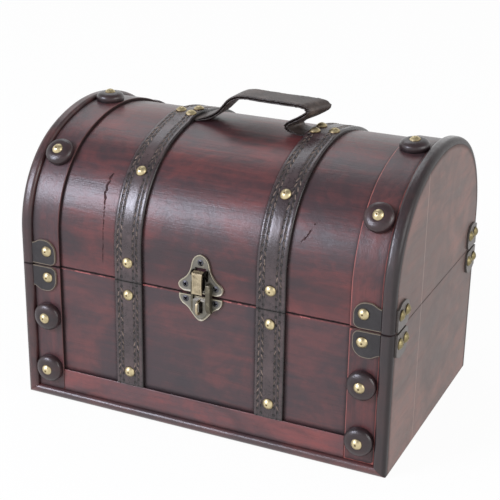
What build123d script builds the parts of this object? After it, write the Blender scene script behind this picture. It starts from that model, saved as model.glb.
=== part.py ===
from build123d import *
import math
import os

# Overall sizes of the chest
chest_width = 380.0
chest_depth = 260.0
base_height = 141.0
lid_rise = 139.0
joint_gap = 0.6

# Arch of the lid: two shoulder arcs and a flatter crown between them, angles as shares of a quarter turn
crown_span_share = 0.2154
shoulder_sweep_share = 0.7311

# Boards of the box and the bent dome
end_board = 10.0
panel_board = 9.0
bottom_board = 9.0
dome_board = 6.0
rail_height = 24.0
rail_depth = 9.0
seam_from_front = 79.0
seam_width = 0.9
seam_depth = 0.5

# Rounded mouldings along the edges of both ends and along the foot
moulding_width = 12.0
moulding_proud = 7.0
moulding_outer_round_share = 0.95
moulding_inner_round_share = 0.55
foot_moulding_height = 9.5
hinge_relief = 6.0

# Flat bands beside the mouldings
band_width = 29.2
band_proud = 3.0
foot_band_height = 22.9

# Leather straps
strap_width = 29.0
strap_thick = 3.5
strap_centre_share = 0.3847

# Turned wooden studs on the bands
stud_diameter = 28.0
stud_rim = 3.0
stud_dome = 6.0
stud_root = 2.0
base_stud_height_shares = (0.226, 0.624)
lid_front_stud_rise_shares = (0.534, 0.45)
lid_crown_stud_rise_shares = (1.0, 0.94)
lid_back_stud_rise_share = 1.5

# Brass nails
nail_head = 11.0
nail_dome = 3.2
nail_shank = 2.0
nail_reach = 8.0
stud_nail_reach = 15.0
driven_clearance = 0.05
strap_nail_drop_shares = (0.096, 0.667)
lid_strap_nail_lift = 19.0
lid_strap_nail_rise_shares = (0.502, 1.498)

# Leather corner patches: one tab on the long side and one on the end
patch_thick = 2.0
patch_height = 25.0
patch_side_length = 25.5
patch_end_length = 29.0
patch_joint_gap = 1.2
patch_round = 11.0
patch_corner = 2.0
patch_nail_lifts = {"lid": 15.2, "base": 11.8}
patch_side_nail_share = 0.64
patch_end_nail_shares = (0.24, 0.76)

# Leather carrying handle, laid out along the crown from strap to strap
handle_width = 28.0
handle_thick = 4.5
handle_tail_thick = 1.9
handle_tail_margin = 2.0
handle_tail_root = 2.0
handle_rise = 28.6
handle_crown_rise_share = 0.98
handle_lift_bend = 14.0
handle_top_bend = 10.0
handle_fold_bend = 3.2
handle_lift_share = -0.447
handle_top_share = -0.157
handle_fold_shares = (0.973, 0.462)
handle_inner_nail_shares = (0.3, -0.26)
handle_outer_nail_shares = (-0.22, 0.3)
handle_nail_rise_share = 0.0317

# Butt hinges on the back
hinge_length_share = 0.686
hinge_leaf = 1.6
hinge_leaf_height = 25.0
hinge_barrel = 7.0
hinge_pin = 3.0
hinge_knuckle_share = 0.36
hinge_pin_head = 5.0
hinge_pin_cap = 1.2
hinge_side_gap = 0.3
running_clearance = 0.05
turning_clearance = 0.4
barrel_gap = 0.3
hinge_screw_side_share = 0.31
hinge_screw_lift_share = 0.6

# Cross-head screws
screw_head = 6.6
screw_dome = 1.8
screw_shank = 2.8
screw_reach = 7.0
screw_slot = 1.0
screw_slot_depth = 0.9
screw_cross_share = 0.6

# Latch plate on the lid, a little right of the middle
latch_offset = 2.8
latch_plate = 2.0
latch_ear_spread = 15.5
latch_ear_radius = 6.7
latch_ear_lift = 9.2
latch_top_lift = 32.6
latch_top_radius = 7.6
latch_waist_lift = 14.0
latch_waist_radius = 11.0
latch_notch_round = 9.0

# Hasp arm and the pin that it swings on
hasp_width = 10.7
hasp_thick = 2.4
hasp_stand_off = 8.0
hasp_pin = 2.4
hasp_eye = 5.2
hasp_pin_lift = 23.0
hasp_tip_lift = 4.0
hasp_bend = 1.8
hasp_crest_share = 0.8
hasp_side_gap = 0.25
hasp_lug = 2.2
hasp_back_gap = 0.4
window_height = 7.4
window_rise = 2.7

# Keeper on the base, with its prongs and padlock loop
keeper_ear_drop = 5.2
keeper_ear_radius = 6.5
keeper_ear_spread = 15.2
keeper_top_drop = 0.8
keeper_waist_drop = 9.5
keeper_waist_radius = 10.0
keeper_point_drop = 20.6
keeper_point_radius = 4.2
keeper_boss_proud = 2.5
keeper_boss_half = 8.9
keeper_boss_lift = 1.6
keeper_boss_step = 1.2
prong_width = 3.4
prong_proud = 3.5
prong_inner = 7.2
prong_rise = 14.0
prong_foot_drop = 11.0
prong_lid_gap = 0.7
loop_wire = 2.6
loop_reach = 6.2
loop_height = 11.8
loop_drop = 9.6
loop_bend = 4.0

# Shared overrun of all cuts
overrun = 1.0

# Levels, planes and arch radii worked out from the sizes above
half_width = chest_width / 2
half_depth = chest_depth / 2
base_top = base_height - joint_gap / 2
lid_bottom = base_height + joint_gap / 2
top_height = base_height + lid_rise
carcass_half = half_depth - moulding_proud
inner_half_width = half_width - end_board
inner_half_depth = carcass_half - panel_board
moulding_inner_x = half_width - moulding_width
band_inner_x = moulding_inner_x - band_width
band_inset = moulding_proud - band_proud
strap_inset = moulding_proud - strap_thick
foot_band_top = foot_moulding_height + foot_band_height
quarter_turn = math.pi / 2
shoulder_sweep = shoulder_sweep_share * quarter_turn
crown_half_span = half_depth * crown_span_share
shoulder_radius = half_depth - crown_half_span
crown_radius = shoulder_radius + crown_half_span / math.cos(shoulder_sweep)
crown_height = top_height - crown_radius
spring_height = crown_height + crown_half_span * math.tan(shoulder_sweep)
strap_centre = half_width * strap_centre_share
strap_inner_x = strap_centre - strap_width / 2
strap_outer_x = strap_centre + strap_width / 2
hinge_bay = band_inner_x - strap_outer_x
hinge_centre = strap_outer_x + hinge_bay / 2
hinge_length = hinge_bay * hinge_length_share
hinge_axis_y = carcass_half + hinge_barrel / 2 + barrel_gap
sides = {"left": -1, "right": 1}
faces = {"front": -1, "back": 1}

stud_ball = ((stud_diameter / 2)**2 + stud_dome**2) / (2 * stud_dome)
stud_seat = stud_rim + stud_dome - stud_ball + math.sqrt(stud_ball**2 - (nail_head / 2)**2)

nodes = {}
holes = {}


# Arch of the lid

def arch_point(inset, rise):
    """Point (y, z) of the arch, inset from its outermost line, where the outward normal rises by rise."""
    if shoulder_sweep <= rise <= math.pi - shoulder_sweep:
        radius = crown_radius - inset
        return (-radius * math.cos(rise), crown_height + radius * math.sin(rise))
    radius = shoulder_radius - inset
    centre = -crown_half_span if rise < shoulder_sweep else crown_half_span
    return (centre - radius * math.cos(rise), spring_height + radius * math.sin(rise))


def arch_edges(inset):
    """The three arcs of the arch, front to back."""
    marks = (0, shoulder_sweep / 2, shoulder_sweep, quarter_turn)
    first, middle, handover, crown = (arch_point(inset, mark) for mark in marks)
    back = [(-y, z) for y, z in (first, middle, handover)]
    return [
        ThreePointArc(first, middle, handover),
        ThreePointArc(handover, crown, back[2]),
        ThreePointArc(back[2], back[1], back[0]),
    ]


def arch_face(inset):
    """The whole profile under the arch, with straight legs down to the floor."""
    side = half_depth - inset
    front_leg = Line((-side, 0), (-side, spring_height))
    back_leg = Line((side, spring_height), (side, 0))
    foot = Line((side, 0), (-side, 0))
    return make_face([front_leg, *arch_edges(inset), back_leg, foot])


def above_joint(shape):
    """What is left of a shape above the lid's lower edge."""
    low = Box(chest_width + chest_depth, chest_width + chest_depth, lid_bottom,
              align=(Align.CENTER, Align.CENTER, Align.MIN))
    return shape - low


def arch_board(x_start, x_end, inset):
    """Full board with the arch as its outline."""
    return above_joint(Pos(x_start, 0, 0) * extrude(Plane.YZ * arch_face(inset), amount=x_end - x_start))


def arch_strip(x_start, x_end, outer_inset, inner_inset):
    """Sheet bent over the arch."""
    profile = arch_face(outer_inset) - arch_face(inner_inset)
    return above_joint(Pos(x_start, 0, 0) * extrude(Plane.YZ * profile, amount=x_end - x_start))


# Places on the surfaces, as planes that look outwards

def arch_place(x, inset, rise_share):
    """Plane on the arch, where the outward normal rises by a share of a quarter turn."""
    rise = rise_share * quarter_turn
    y, z = arch_point(inset, rise)
    return Plane(origin=(x, y, z), x_dir=(1, 0, 0), z_dir=(0, -math.cos(rise), math.sin(rise)))


def side_place(face, x, z, proud):
    """Plane on the straight front or back, proud of the carcass."""
    way = faces[face]
    return Plane(origin=(x, way * (carcass_half + proud), z), x_dir=(-way, 0, 0), z_dir=(0, way, 0))


def end_place(side, y, z, proud):
    """Plane on the left or right end, proud of the end board."""
    way = sides[side]
    return Plane(origin=(way * (half_width + proud), y, z), x_dir=(0, way, 0), z_dir=(way, 0, 0))


def block(x_span, y_span, z_span):
    """Box between two values on each axis, given in either order."""
    spans = [sorted(span) for span in (x_span, y_span, z_span)]
    middle = [(low + high) / 2 for low, high in spans]
    size = [high - low for low, high in spans]
    return Pos(*middle) * Box(*size)


def across_rod(diameter, x_span, y, z):
    """Round rod along the chest's width."""
    low, high = sorted(x_span)
    rod = Rot(0, 90, 0) * Cylinder(diameter / 2, high - low)
    return Pos((low + high) / 2, y, z) * rod


# Fasteners

def cap(radius, height):
    """Low dome on a flat round base."""
    ball = (radius**2 + height**2) / (2 * height)
    half_turn = math.asin(radius / ball) / 2
    shoulder = (ball * math.sin(half_turn), ball * math.cos(half_turn) - ball + height)
    rim = ThreePointArc((radius, 0), shoulder, (0, height))
    profile = make_face([Line((0, 0), (radius, 0)), rim, Line((0, height), (0, 0))])
    return revolve(Plane.XZ * profile, axis=Axis.Z)


def shank(diameter, reach):
    """Round shank that goes down from the seat."""
    return Cylinder(diameter / 2, reach, align=(Align.CENTER, Align.CENTER, Align.MAX))


def fasten(group, places, shape, diameter, reach, carriers):
    """Set fasteners on their places and note the holes that their carriers need."""
    nodes.setdefault(group, []).extend(place * shape for place in places)
    drill = Pos(0, 0, overrun) * shank(diameter + 2 * driven_clearance, reach + 2 * overrun)
    for carrier in carriers:
        holes.setdefault(carrier, []).extend(place * drill for place in places)


def drive_nails(group, places, carriers, reach=nail_reach):
    """Domed brass nails through their carriers."""
    nail = cap(nail_head / 2, nail_dome) + shank(nail_shank, reach)
    fasten(group, places, nail, nail_shank, reach, carriers)


def drive_screws(group, places, carriers):
    """Cross-head screws through their carriers."""
    arm = screw_head * screw_cross_share / 2
    slot_floor = screw_dome - screw_slot_depth
    bar = block((-arm, arm), (-screw_slot / 2, screw_slot / 2), (slot_floor, screw_dome + overrun))
    head = cap(screw_head / 2, screw_dome) - bar - Rot(0, 0, 90) * bar
    fasten(group, places, head + shank(screw_shank, screw_reach), screw_shank, screw_reach, carriers)


# Box of the base

def end_seam(way):
    """Shallow groove where the two boards of an end meet."""
    middle = seam_from_front - half_depth
    return block((way * (half_width - seam_depth), way * (half_width + overrun)),
                 (middle - seam_width / 2, middle + seam_width / 2),
                 (-overrun, top_height))


def build_base_box():
    """Bottom, front, back and the two ends."""
    clear = (-inner_half_width, inner_half_width)
    height = (0, base_top)
    nodes["base_bottom"] = block(clear, (-inner_half_depth, inner_half_depth), (0, bottom_board))
    for face, way in faces.items():
        nodes[f"base_{face}_panel"] = block(clear, (way * inner_half_depth, way * carcass_half), height)
    for side, way in sides.items():
        board = block((way * inner_half_width, way * half_width), (-carcass_half, carcass_half), height)
        nodes[f"base_{side}_end"] = board - end_seam(way)


# Mouldings

def moulding_profile(width):
    """Section with its back on the first axis and the fuller rounding at the far edge."""
    round_limit = min(moulding_proud, width / 2)
    outer = round_limit * moulding_outer_round_share
    inner = round_limit * moulding_inner_round_share
    return make_face([
        Line((0, 0), (width, 0)),
        Line((width, 0), (width, moulding_proud - outer)),
        CenterArc((width - outer, moulding_proud - outer), outer, 0, 90),
        Line((width - outer, moulding_proud), (inner, moulding_proud)),
        CenterArc((inner, moulding_proud - inner), inner, 90, 90),
        Line((0, moulding_proud - inner), (0, 0)),
    ])


def mitre_wedge(way, upper):
    """Wedge above or below the mitre line in a bottom corner."""
    inner = (way * moulding_inner_x, foot_moulding_height)
    outer = (way * half_width, 0)
    third = (outer[0], inner[1]) if upper else (inner[0], outer[1])
    face = make_face(Polyline(inner, outer, third, close=True))
    return extrude(Plane.XZ * face, amount=chest_depth, both=True)


def build_base_mouldings():
    """Corner mouldings with the foot mouldings mitred into them."""
    for face, way in faces.items():
        top = base_top - (hinge_relief if face == "back" else 0)
        foot_plane = Plane(origin=(0, way * carcass_half, foot_moulding_height),
                           x_dir=(0, 0, -1), z_dir=(way, 0, 0))
        foot = extrude(foot_plane * moulding_profile(foot_moulding_height), amount=half_width, both=True)
        for side, side_way in sides.items():
            corner_plane = Plane(origin=(side_way * moulding_inner_x, way * carcass_half, 0),
                                 x_dir=(side_way, 0, 0), z_dir=(0, 0, side_way * way))
            corner = extrude(corner_plane * moulding_profile(moulding_width), amount=top, dir=(0, 0, 1))
            nodes[f"base_corner_moulding_{face}_{side}"] = corner - mitre_wedge(side_way, upper=False)
            foot -= mitre_wedge(side_way, upper=True)
        nodes[f"base_foot_moulding_{face}"] = foot


def build_lid_rims():
    """Moulding bent over the arch at each end, stopped short of the joint at the back."""
    front_leg = Line((-half_depth, lid_bottom), (-half_depth, spring_height))
    back_leg = Line((half_depth, spring_height), (half_depth, lid_bottom + hinge_relief))
    path = Plane.YZ * Wire([front_leg, *arch_edges(0), back_leg])
    for side, way in sides.items():
        start = Plane(origin=(way * moulding_inner_x, -carcass_half, lid_bottom),
                      x_dir=(way, 0, 0), z_dir=(0, 0, -way))
        nodes[f"lid_rim_{side}"] = sweep(start * moulding_profile(moulding_width), path=path)


# Shell of the lid

def build_lid_shell():
    """Arched ends, the bent dome between them and the rails planed to its lower edges."""
    dome_inset = moulding_proud + dome_board
    nodes["lid_dome"] = arch_strip(-inner_half_width, inner_half_width, moulding_proud, dome_inset)
    for side, way in sides.items():
        low, high = sorted((way * inner_half_width, way * half_width))
        nodes[f"lid_{side}_end"] = arch_board(low, high, moulding_proud) - end_seam(way)
    rail_outer = half_depth - dome_inset
    hollow = arch_board(-inner_half_width, inner_half_width, dome_inset)
    for face, way in faces.items():
        rail = block((-inner_half_width, inner_half_width),
                     (way * (rail_outer - rail_depth), way * rail_outer),
                     (lid_bottom, lid_bottom + rail_height))
        nodes[f"lid_{face}_rail"] = rail & hollow


# Bands and straps

def build_bands():
    """Flat bands over the lid, up the front of the base and along its foot."""
    proud = (-carcass_half - band_proud, -carcass_half)
    for side, way in sides.items():
        low, high = sorted((way * band_inner_x, way * moulding_inner_x))
        nodes[f"lid_band_{side}"] = arch_strip(low, high, band_inset, moulding_proud)
        nodes[f"base_band_{side}"] = block((low, high), proud, (foot_moulding_height, base_top))
    nodes["base_band_foot"] = block((-band_inner_x, band_inner_x), proud,
                                    (foot_moulding_height, foot_band_top))


def build_straps():
    """Leather straps over the lid and down the front and back of the base, with their nails."""
    for side, way in sides.items():
        middle = way * strap_centre
        span = (middle - strap_width / 2, middle + strap_width / 2)
        lid_strap = f"lid_strap_{side}"
        nodes[lid_strap] = arch_strip(*span, strap_inset, moulding_proud)
        lid_places = [arch_place(middle, strap_inset, share) for share in lid_strap_nail_rise_shares]
        for face, face_way in faces.items():
            lid_places.append(side_place(face, middle, base_height + lid_strap_nail_lift, strap_thick))
            strap = f"base_strap_{face}_{side}"
            proud = (face_way * carcass_half, face_way * (carcass_half + strap_thick))
            nodes[strap] = block(span, proud, (foot_band_top, base_top))
            places = [side_place(face, middle, base_height * (1 - share), strap_thick)
                      for share in strap_nail_drop_shares]
            drive_nails("base_nails", places, [strap, f"base_{face}_panel"])
        drive_nails("lid_nails", lid_places, [lid_strap, "lid_dome"])


# Wooden studs

def stud(root):
    """Low turned button with a flat seat for its nail, and a root for a curved seat."""
    radius = stud_diameter / 2
    foot = Cylinder(radius, stud_rim + root, align=(Align.CENTER, Align.CENTER, Align.MIN))
    body = Pos(0, 0, -root) * foot + Pos(0, 0, stud_rim) * cap(radius, stud_dome)
    above = (stud_seat, stud_seat + stud_dome)
    return body - block((-radius, radius), (-radius, radius), above)


def build_studs():
    """Studs on the bands of the lid and the base, each with a long nail."""
    rise_shares = zip(lid_front_stud_rise_shares, lid_crown_stud_rise_shares)
    for (side, way), lid_shares in zip(sides.items(), rise_shares):
        middle = way * (band_inner_x + band_width / 2)
        shares = (*lid_shares, lid_back_stud_rise_share)
        lid_places = [arch_place(middle, band_inset, share) for share in shares]
        band = nodes[f"lid_band_{side}"]
        nodes.setdefault("lid_studs", []).extend(place * stud(stud_root) - band for place in lid_places)
        base_places = [side_place("front", middle, base_height * share, band_proud)
                       for share in base_stud_height_shares]
        nodes.setdefault("base_studs", []).extend(place * stud(0) for place in base_places)
        walls = (("lid", "lid_dome", lid_places), ("base", "base_front_panel", base_places))
        for part, wall, places in walls:
            seats = [place.offset(stud_seat) for place in places]
            carriers = [f"{part}_studs", f"{part}_band_{side}", wall]
            drive_nails(f"{part}_stud_nails", seats, carriers, stud_nail_reach)


# Leather corner patches

def patch_tab(place, length, way, up):
    """Tab from the moulding's edge and the joint, rounded at the corner away from both."""
    points = [(0, 0), (way * length, 0), (way * length, up * patch_height), (0, up * patch_height)]
    face = make_face(Polyline(*points, close=True))
    far = [corner for corner in face.vertices() if abs(corner.X) > length / 2]
    outer = [corner for corner in far if abs(corner.Y) > patch_height / 2]
    face = fillet(outer, patch_round)
    near = [corner for corner in face.vertices() if abs(corner.X) > length - patch_corner / 2
            and abs(corner.Y) < patch_corner / 2]
    return extrude(place * fillet(near, patch_corner), amount=patch_thick)


def build_patches():
    """Patches at the four corners of the lid and of the base."""
    for part, up in (("lid", 1), ("base", -1)):
        edge = base_height + up * patch_joint_gap
        nail_height = base_height + up * patch_nail_lifts[part]
        for face, way in faces.items():
            banded = part == "lid" or face == "front"
            proud = band_proud if banded else 0
            wall = "lid_dome" if part == "lid" else f"base_{face}_panel"
            for side, side_way in sides.items():
                name = f"{part}_corner_patch_{face}_{side}"
                inward = way * side_way
                side_tab = patch_tab(side_place(face, side_way * moulding_inner_x, edge, proud),
                                     patch_side_length, inward, up)
                end_tab = patch_tab(end_place(side, way * carcass_half, edge, 0),
                                    patch_end_length, -inward, up)
                nodes[name] = [side_tab, end_tab]
                nail_x = side_way * (moulding_inner_x - patch_side_length * patch_side_nail_share)
                side_nail = side_place(face, nail_x, nail_height, proud + patch_thick)
                end_nails = [end_place(side, way * (carcass_half - patch_end_length * share), nail_height,
                                       patch_thick) for share in patch_end_nail_shares]
                band = [f"{part}_band_{side}"] if banded else []
                drive_nails(f"{part}_nails", [side_nail], [name, wall, *band])
                drive_nails(f"{part}_nails", end_nails, [name, f"{part}_{side}_end"])


# Leather carrying handle

def build_handle():
    """Strap folded into a grip, with a thin tail let in and nailed under each lid strap."""
    crown = arch_place(0, moulding_proud, handle_crown_rise_share)
    low = handle_thick / 2
    points = [
        (-strap_inner_x, low),
        (strap_centre * handle_lift_share, low),
        (strap_centre * handle_top_share, handle_rise),
        (strap_centre * handle_fold_shares[0], handle_rise),
        (strap_centre * handle_fold_shares[1], low),
        (strap_inner_x, low),
    ]
    bends = [handle_lift_bend, handle_top_bend, handle_fold_bend, handle_fold_bend]
    path = Plane.XZ * FilletPolyline(*points, radius=bends)
    start = Plane(origin=(points[0][0], 0, low), x_dir=(0, 1, 0), z_dir=(1, 0, 0))
    handle = crown * sweep(start * Rectangle(handle_width, handle_thick), path=path)
    across = (-handle_width / 2, handle_width / 2)
    nail_shares = zip(handle_inner_nail_shares, handle_outer_nail_shares)
    for (side, way), (inner_share, outer_share) in zip(sides.items(), nail_shares):
        strap = f"lid_strap_{side}"
        span = sorted((way * (strap_inner_x - handle_tail_root), way * (strap_outer_x - handle_tail_margin)))
        sheet = arch_strip(*span, moulding_proud - handle_tail_thick, moulding_proud)
        tail = sheet & crown * block(span, across, (-handle_thick, handle_thick))
        handle += tail
        nodes[strap] -= tail
        inner_x = way * strap_centre + strap_width * inner_share
        outer_x = way * strap_centre + strap_width * outer_share
        spots = [(inner_x, -handle_nail_rise_share), (inner_x, handle_nail_rise_share), (outer_x, 0)]
        places = [arch_place(x, strap_inset, handle_crown_rise_share + step) for x, step in spots]
        drive_nails("handle_nails", places, ["carry_handle", strap, "lid_dome"])
    nodes["carry_handle"] = handle


# Hinges

def build_hinges():
    """Two butt hinges on the back, each with a pin through three knuckles."""
    middle_half = hinge_length * hinge_knuckle_share / 2
    for side, way in sides.items():
        centre = way * hinge_centre
        length = (centre - hinge_length / 2, centre + hinge_length / 2)
        inner = (centre - middle_half, centre + middle_half)
        inner_clear = (inner[0] - hinge_side_gap, inner[1] + hinge_side_gap)
        barrel = across_rod(hinge_barrel, length, hinge_axis_y, base_height)
        bore = across_rod(hinge_pin + 2 * running_clearance, (length[0] - overrun, length[1] + overrun),
                          hinge_axis_y, base_height)
        sweep_room = across_rod(hinge_barrel + 2 * turning_clearance,
                                (length[0] - overrun, length[1] + overrun), hinge_axis_y, base_height)
        reach = carcass_half + 2 * hinge_barrel
        column = block(inner_clear, (0, reach), (0, top_height))
        tight_column = block(inner, (0, reach), (0, top_height))
        for part, up in (("base", -1), ("lid", 1)):
            plate = block(length, (carcass_half, carcass_half + hinge_leaf),
                          (base_height, base_height + up * hinge_leaf_height))
            own = barrel - column if part == "base" else barrel & tight_column
            cleared = sweep_room & column if part == "base" else sweep_room - tight_column
            name = f"hinge_{part}_leaf_{side}"
            nodes[name] = plate - cleared + own - bore
            lift = base_height + up * hinge_leaf_height * hinge_screw_lift_share
            spread = hinge_length * hinge_screw_side_share
            places = [side_place("back", centre + step * spread, lift, hinge_leaf) for step in (-1, 1)]
            wall = "base_back_panel" if part == "base" else "lid_dome"
            drive_screws(f"hinge_{part}_screws", places, [name, wall])
        pin = across_rod(hinge_pin, length, hinge_axis_y, base_height)
        for end, out in ((length[0], -1), (length[1], 1)):
            pin += across_rod(hinge_pin_head, (end, end + out * hinge_pin_cap), hinge_axis_y, base_height)
        nodes.setdefault("hinge_pins", []).append(pin)


# Latch, laid out on the front of the chest with the joint as its zero height

def disc(radius, x, y):
    """Flat disc at a place."""
    return Pos(x, y) * Circle(radius)


def drawn_block(x_span, y_span):
    """Flat rectangle between two values on each axis."""
    middle = ((x_span[0] + x_span[1]) / 2, (y_span[0] + y_span[1]) / 2)
    return Pos(*middle) * Rectangle(x_span[1] - x_span[0], y_span[1] - y_span[0])


def hull_of(*shapes):
    """Outline drawn tight round some flat shapes."""
    return make_hull([edge for shape in shapes for edge in shape.edges()])


def ears(spread, radius, height):
    """Two round ears joined by a straight piece."""
    return hull_of(disc(radius, -spread, height), disc(radius, spread, height))


def soften(face, radius):
    """Round the inward corners of an outline."""
    return offset(offset(face, radius), -radius)


def build_lid_latch(front):
    """Bell-shaped plate, the pin in its lugs and the hasp arm that swings on it."""
    bell = hull_of(disc(latch_top_radius, 0, latch_top_lift), disc(latch_waist_radius, 0, latch_waist_lift))
    outline = soften(bell + ears(latch_ear_spread, latch_ear_radius, latch_ear_lift), latch_notch_round)
    inner_lug = hasp_width / 2 + hasp_side_gap
    window = Pos(0, hasp_pin_lift + window_rise) * Rectangle(2 * inner_lug, window_height)
    plate = extrude(outline - window, amount=latch_plate)
    eye_radius = hasp_eye / 2
    pin_out = latch_plate + hasp_back_gap + eye_radius
    for way in (-1, 1):
        span = (way * inner_lug, way * (inner_lug + hasp_lug))
        plate += block(span, (hasp_pin_lift - eye_radius, hasp_pin_lift + eye_radius), (0, pin_out))
        plate += across_rod(hasp_eye, span, hasp_pin_lift, pin_out)
    pin_span = (-inner_lug - hasp_lug, inner_lug + hasp_lug)
    plate -= across_rod(hasp_pin + 2 * running_clearance, pin_span, hasp_pin_lift, pin_out)
    nodes["latch_lid_plate"] = front * plate
    nodes["hasp_pin"] = front * across_rod(hasp_pin, pin_span, hasp_pin_lift, pin_out)
    nodes["hasp_arm"] = front * hasp_arm(eye_radius, pin_out)
    spots = [(0, latch_top_lift), (-latch_ear_spread, latch_ear_lift), (latch_ear_spread, latch_ear_lift)]
    places = [front * Plane(origin=(x, y, latch_plate)) for x, y in spots]
    drive_screws("latch_lid_screws", places, ["latch_lid_plate", "lid_dome"])


def hasp_arm(eye_radius, pin_out):
    """Bent brass arm: an eye on the pin, a short bridge outwards and a flat tongue down."""
    crest = hasp_pin_lift + eye_radius * hasp_crest_share
    face_out = latch_plate + hasp_stand_off
    tongue = drawn_block((hasp_tip_lift, crest), (face_out - hasp_thick, face_out))
    bridge = drawn_block((crest - hasp_thick, crest), (pin_out, face_out))
    bent = tongue + bridge
    bent = fillet(bent.vertices().sort_by_distance((crest, face_out))[0], hasp_bend)
    eye = disc(eye_radius, hasp_pin_lift, pin_out)
    bore = disc(hasp_pin / 2 + running_clearance, hasp_pin_lift, pin_out)
    return extrude(Plane.YZ * (bent + eye - bore), amount=hasp_width / 2, both=True)


def build_base_latch(front):
    """Keeper plate with a raised boss, two prongs beside the tongue and a padlock loop."""
    shield = hull_of(disc(keeper_waist_radius, 0, -keeper_waist_drop),
                     disc(keeper_point_radius, 0, -keeper_point_drop))
    wings = ears(keeper_ear_spread, keeper_ear_radius, -keeper_ear_drop)
    outline = soften(shield + wings, keeper_point_radius)
    full = keeper_ear_spread + keeper_ear_radius
    keeper = extrude(outline, amount=latch_plate)
    keeper -= block((-full, full), (-keeper_top_drop, keeper_ear_radius), (-overrun, latch_plate + overrun))
    boss_out = latch_plate + keeper_boss_proud
    boss_top = Pos(0, keeper_boss_lift, 0) * Rectangle(2 * keeper_boss_half, keeper_waist_drop,
                                                      align=(Align.CENTER, Align.MAX))
    boss_face = hull_of(boss_top, disc(keeper_point_radius - keeper_boss_step, 0, -keeper_point_drop))
    boss = extrude(boss_face, amount=boss_out) - block((-full, full), (-keeper_top_drop, prong_rise),
                                                       (-overrun, latch_plate + prong_lid_gap))
    keeper += boss
    for way in (-1, 1):
        keeper += block((way * prong_inner, way * (prong_inner + prong_width)),
                        (-prong_foot_drop, prong_rise),
                        (latch_plate + prong_lid_gap, latch_plate + prong_proud))
    nodes["latch_keeper"] = front * keeper
    half_loop = loop_height / 2
    corners = [(0, half_loop), (loop_reach, half_loop), (loop_reach, -half_loop), (0, -half_loop)]
    route = FilletPolyline(*corners, radius=loop_bend)
    loop_plane = Plane(origin=(0, -loop_drop, boss_out), x_dir=(0, 0, 1), z_dir=(1, 0, 0))
    start = Plane(origin=(0, half_loop - loop_drop, boss_out), x_dir=(1, 0, 0), z_dir=(0, 0, 1))
    nodes["padlock_loop"] = front * sweep(start * Circle(loop_wire / 2), path=loop_plane * route)
    places = [front * Plane(origin=(way * keeper_ear_spread, -keeper_ear_drop, latch_plate))
              for way in (-1, 1)]
    drive_screws("latch_base_screws", places, ["latch_keeper", "base_front_panel"])


def build_latch():
    """Both halves of the latch."""
    front = side_place("front", latch_offset, base_height, 0)
    build_lid_latch(front)
    build_base_latch(front)


# Assembly

def drill_and_write():
    """Cut the noted holes and write each node to its file."""
    os.makedirs("parts", exist_ok=True)
    for name, shape in nodes.items():
        pieces = shape if isinstance(shape, list) else [shape]
        cutters = holes.get(name, [])
        if cutters:
            pieces = [piece - cutters for piece in pieces]
        solids = [solid for piece in pieces for solid in piece.solids()]
        export_step(Compound(children=solids) if len(solids) > 1 else solids[0], f"parts/{name}.step")


build_base_box()
build_base_mouldings()
build_lid_shell()
build_lid_rims()
build_bands()
build_straps()
build_studs()
build_patches()
build_handle()
build_hinges()
build_latch()
drill_and_write()
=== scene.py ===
import logging
from dataclasses import dataclass, field
from enum import Enum
from typing import Sequence

import bmesh
import bpy
import numpy as np
from mathutils import Matrix, Vector


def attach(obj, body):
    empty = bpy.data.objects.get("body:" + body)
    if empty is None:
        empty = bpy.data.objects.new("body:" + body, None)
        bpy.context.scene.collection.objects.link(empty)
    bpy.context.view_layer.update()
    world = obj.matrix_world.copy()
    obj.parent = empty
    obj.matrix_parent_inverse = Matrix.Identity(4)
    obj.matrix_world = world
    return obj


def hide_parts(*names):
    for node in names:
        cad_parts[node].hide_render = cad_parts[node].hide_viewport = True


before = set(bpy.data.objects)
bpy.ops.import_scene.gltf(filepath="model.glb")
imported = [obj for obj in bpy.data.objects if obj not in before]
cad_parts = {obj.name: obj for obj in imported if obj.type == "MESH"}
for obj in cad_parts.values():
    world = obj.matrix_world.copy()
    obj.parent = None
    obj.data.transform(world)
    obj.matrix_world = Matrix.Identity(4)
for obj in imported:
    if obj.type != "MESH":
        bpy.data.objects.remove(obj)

LOG = logging.getLogger("chest")
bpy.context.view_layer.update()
MM = 0.001
X_AXIS, Y_AXIS, Z_AXIS = np.eye(3)
FAR = 1.0
MERGE = 1e-7
MARKS = ("edge", "meet", "gap", "crack", "seam", "touch_and_shade")
Array = np.ndarray
Socket = bpy.types.NodeSocket
Pair = tuple[float, float]
Triple = tuple[float, float, float]
Colour = tuple[float, float, float, float]
Splits = tuple[tuple[float, tuple[Pair, ...]], ...]


def srgb(red: float, green: float, blue: float) -> Colour:
    """Linear colour of screen values 0 to 255: v / 12.92 when low, else ((v + 0.055) / 1.055) ** 2.4."""
    screen = np.array([red, green, blue]) / 255
    return (*np.where(screen <= 0.04045, screen / 12.92, ((screen + 0.055) / 1.055) ** 2.4).tolist(), 1.0)


def smooth(value: Array, low: float, high: float) -> Array:
    """Ease from 0 at low to 1 at high with the cubic 3t^2 - 2t^3."""
    share = np.clip((value - low) / (high - low), 0, 1)
    return share * share * (3 - 2 * share)


def points_of(*axes: Array | float) -> Array:
    """Points whose coordinates are the given arrays, spread to one shape."""
    return np.stack(np.broadcast_arrays(*axes), axis=-1)


def unit(vectors: Array) -> Array:
    """Vectors divided by their lengths."""
    return vectors / np.linalg.norm(vectors, axis=-1, keepdims=True)


# Skins: points, faces and values of a mesh in the making

class Lids(Enum):
    """How the two ends of a grid are closed."""

    OPEN = "open"
    FLAT = "flat"
    POINT = "point"


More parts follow.
